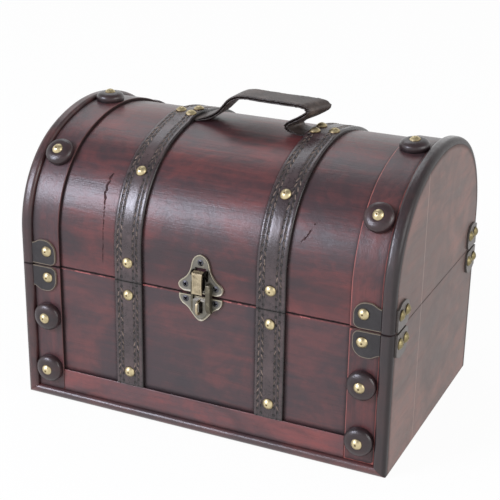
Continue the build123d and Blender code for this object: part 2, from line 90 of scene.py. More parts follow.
@dataclass
class Skin:
    """Points and faces of a surface, with named values at its points."""

    points: Array
    faces: list[Array]
    values: dict[str, Array] = field(default_factory=dict)

    def with_values(self, **values: Array) -> "Skin":
        """Same skin with more named values."""
        return Skin(self.points, self.faces, {**self.values, **values})

    def with_marks(self) -> "Skin":
        """Same skin, with every distance that it doesn't name set far away."""
        far = {name: np.full(len(self.points), FAR) for name in MARKS}
        return Skin(self.points, self.faces, {**far, **self.values})


def skin_of(grid: Array, loop_cols: bool = False, lids: Lids = Lids.OPEN, keep: Array | None = None,
            **values: Array | float) -> Skin:
    """Join a grid of points into quads: point (i, j) with its neighbours in i and in j.

    Args:
        grid: Points, rows by columns by 3.
        loop_cols: Whether the last column joins the first.
        lids: How the first and the last row are closed.
        keep: Which quads stay, rows - 1 by columns - 1, or all of them.
        values: Named numbers at the points, spread to rows by columns.

    Returns:
        The skin.
    """
    rows, cols = grid.shape[:2]
    i, j = np.meshgrid(np.arange(rows - 1), np.arange(cols - (not loop_cols)), indexing="ij")
    here, right = i * cols + j, i * cols + (j + 1) % cols
    quads = np.stack([here, right, right + cols, here + cols], axis=-1)
    faces = [quads.reshape(-1, 4) if keep is None else quads[keep]]
    points = grid.reshape(-1, 3)
    flat = {name: np.broadcast_to(value, (rows, cols)).reshape(-1) for name, value in values.items()}
    first, last = np.arange(cols), (rows - 1) * cols + np.arange(cols)
    if lids is Lids.FLAT:
        faces += [first[None, ::-1], last[None, :]]
    if lids is Lids.POINT:
        hubs = np.stack([grid[0].mean(axis=0), grid[-1].mean(axis=0)])
        for ring, hub in ((first[::-1], len(points)), (last, len(points) + 1)):
            faces.append(np.stack([ring, np.roll(ring, -1), np.full(cols, hub)], axis=-1))
        points = np.concatenate([points, hubs])
        flat = {name: np.concatenate([value, [value[first].mean(), value[last].mean()]])
                for name, value in flat.items()}
    return Skin(points, faces, flat)


def tube(grid: Array, **values: Array | float) -> Skin:
    """Grid that closes round its columns, with a flat face at each end."""
    return skin_of(grid, loop_cols=True, lids=Lids.FLAT, **values)


def joined(skins: Sequence[Skin]) -> Skin:
    """Lay several skins into one, each with its own run of point numbers.

    Args:
        skins: The skins, all with the same named values.

    Returns:
        One skin.
    """
    starts = np.cumsum([0] + [len(skin.points) for skin in skins])
    faces = [face + start for skin, start in zip(skins, starts) for face in skin.faces]
    names = skins[0].values
    values = {name: np.concatenate([skin.values[name] for skin in skins]) for name in names}
    return Skin(np.concatenate([skin.points for skin in skins]), faces, values)


def stamped(skin: Skin, origins: Array, bases: Array) -> Skin:
    """Repeat a skin: each point is origin + point times the basis rows.

    Args:
        skin: Shape in its own axes.
        origins: Places, n by 3.
        bases: Rows of local axes at each place, n by 3 by 3.

    Returns:
        All copies in one skin.
    """
    count, size = len(origins), len(skin.points)
    points = np.einsum("pk,nkl->npl", skin.points, bases) + origins[:, None, :]
    starts = np.arange(count)[:, None, None] * size
    faces = [(face[None] + starts).reshape(-1, face.shape[1]) for face in skin.faces]
    values = {name: np.tile(value, count) for name, value in skin.values.items()}
    return Skin(points.reshape(-1, 3), faces, values)


def revolved(profile: Array, turns: int) -> Skin:
    """Turn a profile of (radius, height) round its axis: (r cos a, r sin a, h).

    Args:
        profile: Radii and heights from the foot to the middle, k by 2.
        turns: Points round the axis.

    Returns:
        Closed skin with each point's share of the largest radius as ring.
    """
    angle = np.arange(turns) / turns * 2 * np.pi
    radius, height = profile[:, :1], profile[:, 1:]
    grid = points_of(radius * np.cos(angle), radius * np.sin(angle), height)
    return skin_of(grid, loop_cols=True, lids=Lids.POINT, ring=radius / radius.max())


# Places and routes

@dataclass(frozen=True)
class Place:
    """Spot on the chest with axes across, up and out of the surface there."""

    origin: Array
    across: Array
    up: Array
    out: Array

    @property
    def basis(self) -> Array:
        """Rows of the three axes."""
        return np.stack([self.across, self.up, self.out])

    def world(self, local: Array) -> Array:
        """Origin plus local coordinates times the axes."""
        return self.origin + local @ self.basis

    def moved(self, across: float, up: float, out: float) -> "Place":
        """Same axes at a shifted spot."""
        return Place(self.world(np.array([across, up, out])), self.across, self.up, self.out)


@dataclass(frozen=True)
class Route:
    """Stations of a path, each with an across and an out direction."""

    origin: Array
    across: Array
    out: Array
    run: Array

    @property
    def end_distance(self) -> Array:
        """Distance along the path to the nearer end."""
        return np.minimum(self.run - self.run[0], self.run[-1] - self.run)


@dataclass(frozen=True)
class Loop:
    """Closed outline carried along a route, with each point's distance to an edge."""

    points: Array
    edge: Array


def straight_route(start: Array, stop: Array, across: Array, out: Array, step: float) -> Route:
    """Evenly spaced stations on a straight line: start + share * (stop - start).

    Args:
        start, stop: Ends of the line.
        across, out: Directions, the same at every station.
        step: Longest gap between stations.

    Returns:
        The route.
    """
    length = float(np.linalg.norm(stop - start))
    share = np.linspace(0, 1, max(2, int(np.ceil(length / step)) + 1))
    origin = start + share[:, None] * (stop - start)
    return Route(origin, np.tile(across, (len(share), 1)), np.tile(out, (len(share), 1)), share * length)


def carried(route: Route, loop: Loop, **values: Array | float) -> Skin:
    """Carry an outline along a route: origin + a * across + b * out at every station.

    Args:
        route: Stations of the path.
        loop: Closed outline of (a, b).
        values: Further named numbers, stations by outline points.

    Returns:
        Skin whose edge value is the distance to the nearest edge or end.
    """
    a, b = loop.points.T[:, None, :, None]
    grid = route.origin[:, None] + a * route.across[:, None] + b * route.out[:, None]
    return tube(grid, edge=np.minimum(loop.edge, route.end_distance[:, None]), **values)


def side_points(start: Sequence[float], stop: Sequence[float], step: float) -> Array:
    """Points from start towards stop, at most a step apart and without the last one."""
    count = max(1, int(np.ceil(np.linalg.norm(np.subtract(stop, start)) / step)))
    return np.array(start) + np.arange(count)[:, None] / count * np.subtract(stop, start)


def slab_loop(a_span: Pair, b_span: Pair, step: float, extra: Sequence[float] = ()) -> Loop:
    """Rectangle whose far side in b is seen; edge is the distance to its corners, below 0 on the walls.

    Args:
        a_span: Lowest and highest a.
        b_span: Hidden side and seen side in b.
        step: Longest gap between points on the seen side.
        extra: More values of a for points on the seen side.

    Returns:
        The loop.
    """
    (a0, a1), (b0, b1) = a_span, b_span
    seen = np.concatenate([side_points((a0, b1), (a1, b1), step), points_of(np.array(extra), b1)])
    points = np.concatenate([seen[np.argsort(seen[:, 0])], side_points((a1, b1), (a1, b0), step),
                             side_points((a1, b0), (a0, b0), FAR), side_points((a0, b0), (a0, b1), step)])
    corners = np.array([[a0, b1], [a1, b1]])
    edge = np.linalg.norm(points[:, None, :] - corners, axis=-1).min(axis=1)
    return Loop(points, np.where(points[:, 1] < b1, -edge, edge))


def distance_to_line(spots: Array, line: Array) -> Array:
    """Distance of flat spots to a broken line: the least distance to any of its straight pieces.

    Args:
        spots: Points, n by 2.
        line: Corners of the line, k by 2.

    Returns:
        Distances, n.
    """
    first, last = line[:-1], line[1:]
    along = last - first
    offset = spots[:, None, :] - first
    share = np.clip((offset * along).sum(axis=-1) / (along**2).sum(axis=-1), 0, 1)
    return np.linalg.norm(offset - share[..., None] * along, axis=-1).min(axis=1)


def bar(place: Place, section: Array, span: Pair, edge: float) -> Skin:
    """Solid with one outline of (height, out) all along a span across, and one edge distance."""
    return tube(place.world(points_of(np.array(span)[:, None], *section.T)), edge=edge)


def curve_through(knots: Array, per_span: int) -> Array:
    """Catmull-Rom curve: each span blends four knots with the usual cubic weights.

    Args:
        knots: Points that the curve goes through, n by d.
        per_span: Samples in each span.

    Returns:
        Points of the curve, ends included.
    """
    padded = np.concatenate([2 * knots[:1] - knots[1:2], knots, 2 * knots[-1:] - knots[-2:-1]])
    t = (np.arange(per_span) / per_span)[None, :, None]
    p0, p1, p2, p3 = (padded[k:len(padded) - 3 + k][:, None, :] for k in range(4))
    spans = 0.5 * (2 * p1 + (p2 - p0) * t + (2 * p0 - 5 * p1 + 4 * p2 - p3) * t**2
                   + (3 * p1 - p0 - 3 * p2 + p3) * t**3)
    return np.concatenate([spans.reshape(-1, knots.shape[1]), knots[-1:]])


# Sizes and the arch of the lid

@dataclass(frozen=True)
class ChestSizes:
    """Sizes of the chest in metres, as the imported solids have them."""

    half_width: float = 190 * MM
    half_depth: float = 130 * MM
    base_top: float = 140.7 * MM
    lid_foot: float = 141.3 * MM
    joint: float = 141 * MM
    top: float = 280 * MM
    crown_half_span: float = 28.002 * MM
    shoulder_sweep: float = 1.14841
    end_board: float = 10 * MM
    panel_board: float = 9 * MM
    dome_board: float = 6 * MM
    seam: float = -51 * MM
    moulding: float = 12 * MM
    moulding_proud: float = 7 * MM
    foot_height: float = 9.5 * MM
    hinge_relief: float = 6 * MM
    band_proud: float = 3 * MM
    band_width: float = 29.2 * MM
    foot_band_top: float = 32.4 * MM
    strap_width: float = 29 * MM
    strap_thick: float = 3.5 * MM
    strap_centre: float = 73.093 * MM
    spring_guard: float = 170 * MM
    step: float = 3.5 * MM

    @property
    def carcass(self) -> float:
        """Half depth of the boards without mouldings."""
        return self.half_depth - self.moulding_proud

    @property
    def inner_half_width(self) -> float:
        """Half width between the end boards."""
        return self.half_width - self.end_board

    @property
    def moulding_inner(self) -> float:
        """Distance of the mouldings' inner edge from the middle."""
        return self.half_width - self.moulding

    @property
    def band_inner(self) -> float:
        """Distance of the bands' inner edge from the middle."""
        return self.moulding_inner - self.band_width

    @property
    def band_inset(self) -> float:
        """Depth of the bands' face below the mouldings' crest."""
        return self.moulding_proud - self.band_proud

    @property
    def strap_inset(self) -> float:
        """Depth of the straps' face below the mouldings' crest."""
        return self.moulding_proud - self.strap_thick

    def front(self, x: float, z: float, proud: float = 0) -> Place:
        """Spot on the front, proud of the carcass."""
        return Place(np.array([x, -self.carcass - proud, z]), X_AXIS, Z_AXIS, -Y_AXIS)

    def back(self, x: float, z: float, proud: float = 0) -> Place:
        """Spot on the back, proud of the carcass."""
        return Place(np.array([x, self.carcass + proud, z]), -X_AXIS, Z_AXIS, Y_AXIS)

    def end(self, way: int, y: float, z: float, proud: float = 0) -> Place:
        """Spot on the right end (way 1) or the left end (way -1)."""
        return Place(np.array([way * (self.half_width + proud), y, z]), way * Y_AXIS, Z_AXIS, way * X_AXIS)

    def face(self, way: int, x: float, z: float, proud: float = 0) -> Place:
        """Spot on the front (way -1) or the back (way 1)."""
        return self.front(x, z, proud) if way < 0 else self.back(x, z, proud)

    def neighbour_distance(self, x: Array, side: float) -> Array:
        """Distance across to the nearest strap, or to what starts at side, and 0 under them."""
        strap = np.abs(np.abs(x) - self.strap_centre) - self.strap_width / 2
        return np.maximum(np.minimum(strap, side - np.abs(x)), 0)


class ArchLine:
    """Crest of the lid's outline: a leg, a shoulder arc, the crown arc, a shoulder arc and a leg."""

    def __init__(self, sizes: ChestSizes) -> None:
        """Work out radii, centres and lengths of the five stretches.

        The crown radius is the shoulder radius plus half span / cos(sweep), so the arcs meet smoothly.

        Args:
            sizes: Sizes of the chest.
        """
        self.half_span = sizes.crown_half_span
        self.sweep = sizes.shoulder_sweep
        self.shoulder = sizes.half_depth - self.half_span
        self.crown = self.shoulder + self.half_span / np.cos(self.sweep)
        self.crown_centre = sizes.top - self.crown
        self.spring = self.crown_centre + self.half_span * np.tan(self.sweep)
        self.leg = self.spring - sizes.lid_foot
        self.bend = self.shoulder * self.sweep
        self.cap = self.crown * (np.pi - 2 * self.sweep)
        self.length = 2 * self.leg + 2 * self.bend + self.cap

    def at(self, run: Array) -> tuple[Array, Array]:
        """Points and outward normals at lengths along the line.

        The normal's rise grows with run / radius on each arc; a point is its arc's centre plus radius
        times the normal, and a leg adds its straight length.

        Args:
            run: Lengths from the front foot.

        Returns:
            Points and normals, n by 3, with x at 0.
        """
        first, second, third, fourth = np.cumsum([self.leg, self.bend, self.cap, self.bend])
        rise = (np.clip(run - first, 0, self.bend) / self.shoulder
                + np.clip(run - second, 0, self.cap) / self.crown
                + np.clip(run - third, 0, self.bend) / self.shoulder)
        crowned = (run > second) & (run < third)
        radius = np.where(crowned, self.crown, self.shoulder)
        centre_y = np.where(crowned, 0, np.where(run <= second, -self.half_span, self.half_span))
        centre_z = np.where(crowned, self.crown_centre, self.spring)
        drop = np.maximum(self.leg - run, 0) + np.maximum(run - fourth, 0)
        normal = points_of(0, -np.cos(rise), np.sin(rise))
        return points_of(0, centre_y, centre_z - drop) + radius[..., None] * normal, normal

    def run_at(self, share: float) -> float:
        """Length from the front foot at which the outward normal has risen by a share of a right angle."""
        rise = share * np.pi / 2
        return (self.leg + self.shoulder * min(rise, self.sweep)
                + self.crown * float(np.clip(rise - self.sweep, 0, np.pi - 2 * self.sweep))
                + self.shoulder * float(np.clip(rise - np.pi + self.sweep, 0, self.sweep)))

    def route(self, start: float, stop: float, step: float) -> Route:
        """Stations along the line, across along x and out along the normal.

        Args:
            start, stop: Lengths from the front foot.
            step: Longest gap.

        Returns:
            The route.
        """
        run = np.linspace(start, stop, int(np.ceil((stop - start) / step)) + 1)
        points, normals = self.at(run)
        return Route(points, np.tile(X_AXIS, (len(run), 1)), normals, run)

    def place(self, x: float, inset: float, run: float) -> Place:
        """Spot at a length along the arch, inset from its crest, whose up axis follows the arch."""
        point, normal = (value[0] for value in self.at(np.array([run])))
        return Place(point - inset * normal + x * X_AXIS, X_AXIS, np.cross(normal, X_AXIS), normal)

    def half_depth_at(self, z: Array, inset: float) -> Array:
        """Half depth of the inset outline at heights: sqrt(radius^2 - dz^2) on each arc.

        Args:
            z: Heights.
            inset: Depth below the crest line.

        Returns:
            Half depths.
        """
        side = self.shoulder - inset
        top = self.crown - inset
        handover = self.spring + side * np.sin(self.sweep)
        low = self.half_span + np.sqrt(np.maximum(side**2 - np.maximum(z - self.spring, 0)**2, 0))
        high = np.sqrt(np.maximum(top**2 - (z - self.crown_centre)**2, 0))
        return np.where(z < handover, low, high)


# Finishes

class Graph:
    """Node tree in the making, of a material or of the world."""

    def __init__(self, tree: bpy.types.NodeTree) -> None:
        """Start with an empty tree."""
        self.tree = tree
        self.tree.nodes.clear()

    def feed(self, socket: Socket, source: object) -> None:
        """Link a socket to another one, or set its value.

        Args:
            socket: Input to fill.
            source: Output socket, number or colour.
        """
        if isinstance(source, Socket):
            self.tree.links.new(source, socket)
        else:
            socket.default_value = source

    def add(self, kind: str, inputs: dict[str | int, object] | None = None,
            **settings: object) -> bpy.types.Node:
        """New node with some of its settings and inputs.

        Args:
            kind: Type of the node, without ShaderNode.
            inputs: Sockets, numbers or colours, by the input's name or number.
            settings: Properties of the node.

        Returns:
            The node.
        """
        node = self.tree.nodes.new("ShaderNode" + kind)
        for name, value in settings.items():
            setattr(node, name, value)
        for name, source in (inputs or {}).items():
            self.feed(node.inputs[name], source)
        return node

    def math(self, operation: str, first: object, second: object = 0.0) -> Socket:
        """One sum of two numbers or sockets."""
        return self.add("Math", {0: first, 1: second}, operation=operation).outputs[0]


class FinishGraph(Graph):
    """Nodes of one procedural material, with a surface shader and object coordinates."""

    def __init__(self, name: str) -> None:
        """Start a material.

        Args:
            name: Name of the material.
        """
        self.material = bpy.data.materials.new(name)
        self.material.use_nodes = True
        super().__init__(self.material.node_tree)
        self.shader = self.add("BsdfPrincipled")
        self.add("OutputMaterial", {"Surface": self.shader.outputs[0]})
        self.spot = self.add("TexCoord").outputs["Object"]

    def set(self, **values: object) -> None:
        """Set or link the shader's inputs, named with _ for spaces."""
        for name, value in values.items():
            self.feed(self.shader.inputs[name.replace("_", " ")], value)

    def stretched(self, scale: Sequence[float]) -> Socket:
        """Object coordinates times a scale on each axis."""
        return self.add("Mapping", {"Vector": self.spot, "Scale": scale}).outputs[0]

    def noise(self, scale: float, detail: float, rough: float, bend: float = 0,
              at: Socket | None = None) -> Socket:
        """Fractal noise from 0 to 1: features per metre, octaves, weight of finer ones, warp, place."""
        return self.add("TexNoise", {"Vector": at or self.spot, "Scale": scale, "Detail": detail,
                                     "Roughness": rough, "Distortion": bend}).outputs["Fac"]

    def cells(self, scale: float) -> Socket:
        """Distance to the nearest of scattered cell middles, with so many cells to the metre."""
        return self.add("TexVoronoi", {"Vector": self.spot, "Scale": scale}).outputs["Distance"]

    def blend(self, *parts: tuple[object, float]) -> Socket:
        """Weighted sum of values.

        Args:
            parts: Pairs of a value and its weight.

        Returns:
            The sum.
        """
        fixed = sum(value * weight for value, weight in parts if isinstance(value, float))
        total = None
        for value, weight in parts:
            if not isinstance(value, float):
                part = self.math("MULTIPLY", value, weight)
                total = self.math("ADD", total, part) if total else part
        return self.math("ADD", total, fixed) if fixed else total

    def ease(self, value: Socket, low: float, high: float) -> Socket:
        """Smooth step from 0 at low to 1 at high; low may be the larger one."""
        return self.add("MapRange", {"Value": value, "From Min": low, "From Max": high},
                        interpolation_type="SMOOTHSTEP").outputs["Result"]

    def value(self, name: str) -> Socket:
        """Named value at the mesh's points."""
        return self.add("Attribute", attribute_name=name).outputs["Fac"]

    def near(self, name: str, far: float, close: float, *uneven: tuple[Socket, float]) -> Socket:
        """1 where a named distance plus weighted noises is below close, and 0 where it is above far."""
        return self.ease(self.blend((self.value(name), 1.0), *uneven), far, close)

    def mix(self, share: Socket, first: object, second: object) -> Socket:
        """Colour that is the first at a share of 0 and the second at 1."""
        return self.add("Mix", {0: share, 6: first, 7: second}, data_type="RGBA").outputs[2]

    def tint(self, colour: Socket, cover: Socket, strength: float, paint: Colour) -> Socket:
        """Colour with a paint laid over it, as thick as cover times strength."""
        return self.mix(self.math("MULTIPLY", cover, strength), colour, paint)

    def bump(self, height: Socket, strength: float, distance: float) -> None:
        """Raise the surface by a height, on top of what is raised already.

        Args:
            height: Socket with the height.
            strength: Share of the effect.
            distance: Height of a step from 0 to 1, in metres.
        """
        node = self.add("Bump", {"Strength": strength, "Distance": distance, "Height": height})
        normal = self.shader.inputs["Normal"]
        if normal.is_linked:
            self.feed(node.inputs["Normal"], normal.links[0].from_socket)
        self.feed(normal, node.outputs[0])


class Grain(Enum):
    """Axis that the wood grain follows."""

    ALONG_X = 0
    ALONG_Y = 1
    ALONG_Z = 2

    def drawn(self, share: float) -> tuple[float, ...]:
        """Scale of 1 on each axis, but of share along the grain."""
        return tuple(share if axis == self.value else 1.0 for axis in range(3))


CHIP_COLOUR = srgb(176, 98, 95)
CRACK_COLOUR = srgb(40, 12, 15)
SEAM_COLOUR = srgb(186, 163, 154)
HOLE_SHADE_COLOUR = srgb(10, 8, 8)
FURROW_SHADE_COLOUR = srgb(22, 17, 17)


@dataclass(frozen=True)
class StainedWood:
    """Wood stained dark over red, rubbed through at its edges, and darkened where pieces meet by grime and
    painted shade.
    """

    name: str
    deep: Colour
    red: Colour
    worn: Colour
    black: Colour = srgb(24, 17, 19)
    slate: Colour = srgb(50, 43, 47)
    grain: Grain = Grain.ALONG_X
    redness: float = 0.52
    gloss: float = 0.42
    rub: float = 0.4
    rub_reach: float = 5 * MM
    grime_and_shade: float = 0.7
    grime_and_shade_reach: float = 6 * MM
    coat: float = 0.5
    coat_rough: float = 0.27
    chips: float = 0
    light_seam: bool = False
    marked: bool = True

    def material(self) -> bpy.types.Material:
        """Clouds and streaks choose between the stains; the values at the points rub or darken them.

        Returns:
            The material.
        """
        g = FinishGraph(self.name)
        clouds = g.noise(13, 5, 0.6, 0.9)
        blotches = g.noise(24, 4, 0.55, 1.2, at=g.stretched(self.grain.drawn(0.5)))
        streaks = g.noise(120, 6, 0.62, 0.4, at=g.stretched(self.grain.drawn(0.12)))
        pores = g.noise(1000, 3, 0.62, at=g.stretched(self.grain.drawn(0.02)))
        mottle = g.noise(150, 6, 0.72)
        stain = g.blend((clouds, 0.5), (streaks, 0.32), (mottle, 0.18))
        colour = g.mix(g.ease(stain, self.redness - 0.12, self.redness + 0.14), self.deep, self.red)
        patina = g.ease(g.blend((blotches, 0.8), (mottle, 0.2)), 0.47, 0.66)
        colour = g.tint(colour, patina, 0.6, self.slate)
        colour = g.tint(colour, g.ease(pores, 0.55, 0.74), 0.3, self.black)
        rough = g.blend((streaks, 0.22), (mottle, 0.2), (1.0, self.gloss - 0.17))
        coat = self.coat
        if self.marked:
            # dirt counts dirt, dark joints, cracks and the painted shade on the walls.
            colour, dirt = self.weathered(g, colour, streaks, mottle)
            rough = g.blend((rough, 1.0), (dirt, 0.35))
            coat = g.math("MULTIPLY", g.math("SUBTRACT", 1.0, dirt), self.coat)
        g.set(Base_Color=colour, Specular_IOR_Level=0.3, Coat_Weight=coat,
              Coat_Roughness=self.coat_rough, Roughness=rough)
        g.bump(pores, 0.3, 0.3 * MM)
        g.bump(g.blend((streaks, 0.8), (mottle, 0.5), (clouds, 1.0)), 0.3, 1.1 * MM)
        g.set(Coat_Normal=g.shader.inputs["Normal"].links[0].from_socket)
        return g.material

    def weathered(self, g: FinishGraph, colour: Socket, streaks: Socket,
                  mottle: Socket) -> tuple[Socket, Socket]:
        """Lay grime and painted shade beside neighbours, painted shade and dark stain on side walls, rubbed
        edges, chips, black joint lines, hand marks with painted shade below the handle, and cracks over a
        colour.

        Args:
            g: Graph of the material.
            colour: What lies below.
            streaks, mottle: Noises that make the marks uneven.

        Returns:
            The weathered colour, and how dirty it is from 0 to 1, counting the painted shade on the walls.
        """
        reach = self.rub_reach
        jagged = g.noise(420, 3, 0.7)
        # Grime and painted shade darken the wood beside neighbouring pieces.
        grime_and_shade = g.near("meet", self.grime_and_shade_reach, 1 * MM, (mottle, 0.4 * self.grime_and_shade_reach))
        rub = g.near("edge", 1.15 * reach, 0.65 * reach, (streaks, 0.6 * reach), (mottle, 0.5 * reach))
        # Side walls of raised pieces, where edge is below 0, go near black: painted shade, partly dark
        # stain.
        wall_stain_and_shade = g.near("edge", 0.4 * MM, -0.3 * MM, (mottle, 0.6 * MM))
        joint = g.near("gap", 2.0 * MM, 1.2 * MM, (mottle, 1.6 * MM))
        crack = g.near("crack", 2.5 * MM, 1.9 * MM, (jagged, 3 * MM))
        # Hand marks round the handle, also darker as painted shade below it.
        touch_and_shade = g.near("touch_and_shade", 82 * MM, 30 * MM, (streaks, 30 * MM), (mottle, 20 * MM))
        colour = g.tint(colour, grime_and_shade, self.grime_and_shade, self.black)
        colour = g.tint(colour, rub, self.rub, self.worn)
        if self.chips:
            chip = g.near("gap", 3.7 * MM, 3.1 * MM, (jagged, 3.4 * MM))
            patchy = g.ease(g.noise(75, 3, 0.6), 0.5, 0.58)
            colour = g.tint(colour, g.math("MULTIPLY", chip, patchy), self.chips, CHIP_COLOUR)
        colour = g.tint(colour, touch_and_shade, 0.62, self.black)
        # dirt here holds the dark joint lines and the painted shade on the walls.
        dirt = g.math("MULTIPLY", g.math("MAXIMUM", wall_stain_and_shade, joint), 0.9)
        colour = g.mix(dirt, colour, self.black)
        split = g.math("MULTIPLY", crack, 0.9)
        colour = g.mix(split, colour, CRACK_COLOUR)
        g.bump(crack, 0.8, -0.8 * MM)
        if self.light_seam:
            seam = g.near("seam", 1.5 * MM, 0.7 * MM, (mottle, 0.9 * MM))
            colour = g.tint(colour, seam, 0.42, SEAM_COLOUR)
        dull = g.math("MAXIMUM", g.math("MULTIPLY", touch_and_shade, 0.35), g.math("MULTIPLY", grime_and_shade, 0.6))
        return colour, g.math("MAXIMUM", g.math("MAXIMUM", dirt, split), dull)


@dataclass(frozen=True)
class Leather:
    """Waxed leather with a pebbled grain, paler where it is rubbed, and punched stitch holes, darkened
    inside and along their rows as painted shade.
    """

    name: str
    dark: Colour
    pale: Colour
    rim: Colour
    gloss: float = 0.42
    pebble: float = 850
    pebble_depth: float = 0.25
    shine: float = 0.5
    stitch_pitch: float = 0
    rim_line: Pair = (0.0012, 0.0004)
    rim_share: float = 0.6

    def material(self) -> bpy.types.Material:
        """Noise mixes the two tones; the edge value draws the rubbed rim and rows of holes are punched, with
        painted shade in the holes and along a furrow at each row.

        Returns:
            The material.
        """
        g = FinishGraph(self.name)
        clouds = g.noise(45, 5, 0.65, 0.4)
        scuffs = g.noise(260, 5, 0.7)
        colour = g.mix(g.ease(g.blend((clouds, 0.7), (scuffs, 0.3)), 0.42, 0.68), self.dark, self.pale)
        far, close = self.rim_line
        rim = g.near("edge", far + 0.4 * MM, close + 0.4 * MM, (scuffs, 0.8 * MM))
        colour = g.tint(colour, rim, self.rim_share, self.rim)
        g.bump(g.cells(self.pebble), self.pebble_depth, 0.5 * MM)
        g.bump(clouds, 0.3, 1.5 * MM)
        rough = g.blend((scuffs, 0.22), (clouds, 0.12), (1.0, self.gloss - 0.15))
        if self.stitch_pitch:
            along = g.math("MULTIPLY", g.math("PINGPONG", g.value("along"), self.stitch_pitch / 2), 0.85)
            squares = g.math("ADD", g.math("POWER", g.value("aside"), 2.0), g.math("POWER", along, 2.0))
            hole = g.ease(g.math("SQRT", squares), 1.45 * MM, 0.75 * MM)
            furrow = g.near("aside", 1.8 * MM, 0.8 * MM)
            # Painted shade: near black in the holes and darker along the furrow of each row.
            colour = g.tint(colour, hole, 0.9, HOLE_SHADE_COLOUR)
            colour = g.tint(colour, furrow, 0.45, FURROW_SHADE_COLOUR)
            rough = g.blend((rough, 1.0), (furrow, 0.12))
            g.bump(hole, 1.0, -0.8 * MM)
        g.set(Base_Color=colour, Specular_IOR_Level=self.shine, Roughness=rough)
        return g.material


@dataclass(frozen=True)
class Brass:
    """Brass with tarnish in its hollows and bright rubbed edges."""

    name: str
    bright: Colour
    tarnish: Colour
    cover: float = 0.5
    gloss: float = 0.3
    pip: bool = False

    def material(self) -> bpy.types.Material:
        """Noise lays the tarnish; the edge value rubs it off, or the ring value darkens a nail's middle.

        Returns:
            The material.
        """
        g = FinishGraph(self.name)
        blotch = g.noise(170, 5, 0.65, 0.5)
        speck = g.noise(1400, 4, 0.7)
        cover = g.ease(g.blend((blotch, 0.75), (speck, 0.25)), self.cover + 0.14, self.cover - 0.12)
        if self.pip:
            ring = g.value("ring")
            dark = g.math("MAXIMUM", g.ease(ring, 0.26, 0.1), g.ease(ring, 0.82, 1.02))
            cover = g.math("MAXIMUM", g.math("MULTIPLY", cover, 0.35), dark)
        else:
            rubbed = g.near("edge", 2.1 * MM, 0.8 * MM, (blotch, 1.2 * MM))
            cover = g.math("MULTIPLY", cover, g.blend((rubbed, -0.7), (1.0, 1.0)))
        g.set(Base_Color=g.mix(cover, self.bright, self.tarnish), Metallic=1.0,
              Roughness=g.blend((cover, 0.16), (speck, 0.14), (1.0, self.gloss - 0.07)))
        g.bump(speck, 0.15, 0.2 * MM)
        return g.material


@dataclass(frozen=True)
class Thread:
    """Waxed linen thread with a fine twist."""

    name: str
    dark: Colour
    pale: Colour

    def material(self) -> bpy.types.Material:
        """Fine noise mixes two tones and roughens the surface.

        Returns:
            The material.
        """
        g = FinishGraph(self.name)
        twist = g.noise(1600, 3, 0.6)
        dirt = g.noise(70, 4, 0.6)
        g.set(Base_Color=g.mix(g.ease(g.blend((twist, 0.4), (dirt, 0.6)), 0.42, 0.62), self.dark, self.pale),
              Roughness=g.blend((twist, 0.2), (1.0, 0.55)))
        g.bump(twist, 0.5, 0.4 * MM)
        return g.material


PANEL_WOOD = StainedWood("panel_stain", srgb(64, 51, 55), srgb(103, 60, 60), srgb(140, 58, 54),
                         slate=srgb(54, 49, 54), redness=0.54, chips=0.85)
DOME_WOOD = StainedWood("dome_stain", srgb(61, 44, 48), srgb(110, 55, 54), srgb(122, 64, 63), rub=0.24,
                        rub_reach=24 * MM, grime_and_shade=0.6, grime_and_shade_reach=4.5 * MM)
INSIDE_WOOD = StainedWood("inside_stain", srgb(64, 51, 55), srgb(103, 60, 60), srgb(140, 58, 54),
                          marked=False)
END_WOOD = StainedWood("end_stain", srgb(100, 83, 79), srgb(134, 102, 95), srgb(70, 50, 48),
                       slate=srgb(88, 77, 75), grain=Grain.ALONG_Y, gloss=0.5, rub=0.3, grime_and_shade=0.6,
                       coat=0.1, light_seam=True)
BAND_WOOD = StainedWood("band_stain", srgb(60, 44, 48), srgb(106, 57, 56), srgb(176, 100, 92),
                        grain=Grain.ALONG_Z, rub=0.8, rub_reach=2.4 * MM)
LEFT_BAND_WOOD = StainedWood("left_band_stain", srgb(66, 48, 52), srgb(104, 58, 58), srgb(126, 64, 56),
                             grain=Grain.ALONG_Z, rub=0.5, rub_reach=1.2 * MM)
FOOT_BAND_WOOD = StainedWood("foot_band_stain", srgb(90, 65, 68), srgb(132, 71, 69), srgb(110, 52, 50),
                             slate=srgb(60, 50, 54), redness=0.5, rub=0.3, rub_reach=1.2 * MM)
# One moulding wood in two copies: the left one painted lighter and redder as light on the lit side, the
# right one darker as painted shade.
SHADED_RIGHT_MOULDING_WOOD = StainedWood("shaded_right_moulding_stain", srgb(41, 31, 34), srgb(64, 40, 40), srgb(110, 52, 50),
                            slate=srgb(34, 29, 32), grain=Grain.ALONG_Z, redness=0.56, gloss=0.36, rub=0.5,
                            rub_reach=1.2 * MM, coat=0.8, coat_rough=0.24)
LIT_LEFT_MOULDING_WOOD = StainedWood("lit_left_moulding_stain", srgb(58, 41, 43), srgb(92, 53, 51),
                                 srgb(110, 52, 50), slate=srgb(42, 34, 37), grain=Grain.ALONG_Z,
                                 redness=0.5, gloss=0.36, rub=0.5, rub_reach=1.2 * MM, coat=0.6,
                                 coat_rough=0.26)
FOOT_WOOD = StainedWood("foot_stain", srgb(64, 45, 47), srgb(104, 57, 55), srgb(120, 56, 54), gloss=0.36,
                        rub=0.3, rub_reach=1.5 * MM, grime_and_shade_reach=3 * MM, coat=0.9, coat_rough=0.3)
STUD_WOOD = StainedWood("stud_stain", srgb(38, 29, 32), srgb(62, 38, 39), srgb(70, 44, 42),
                        slate=srgb(28, 23, 27), redness=0.52, gloss=0.36, rub=0.0, coat=0.6)
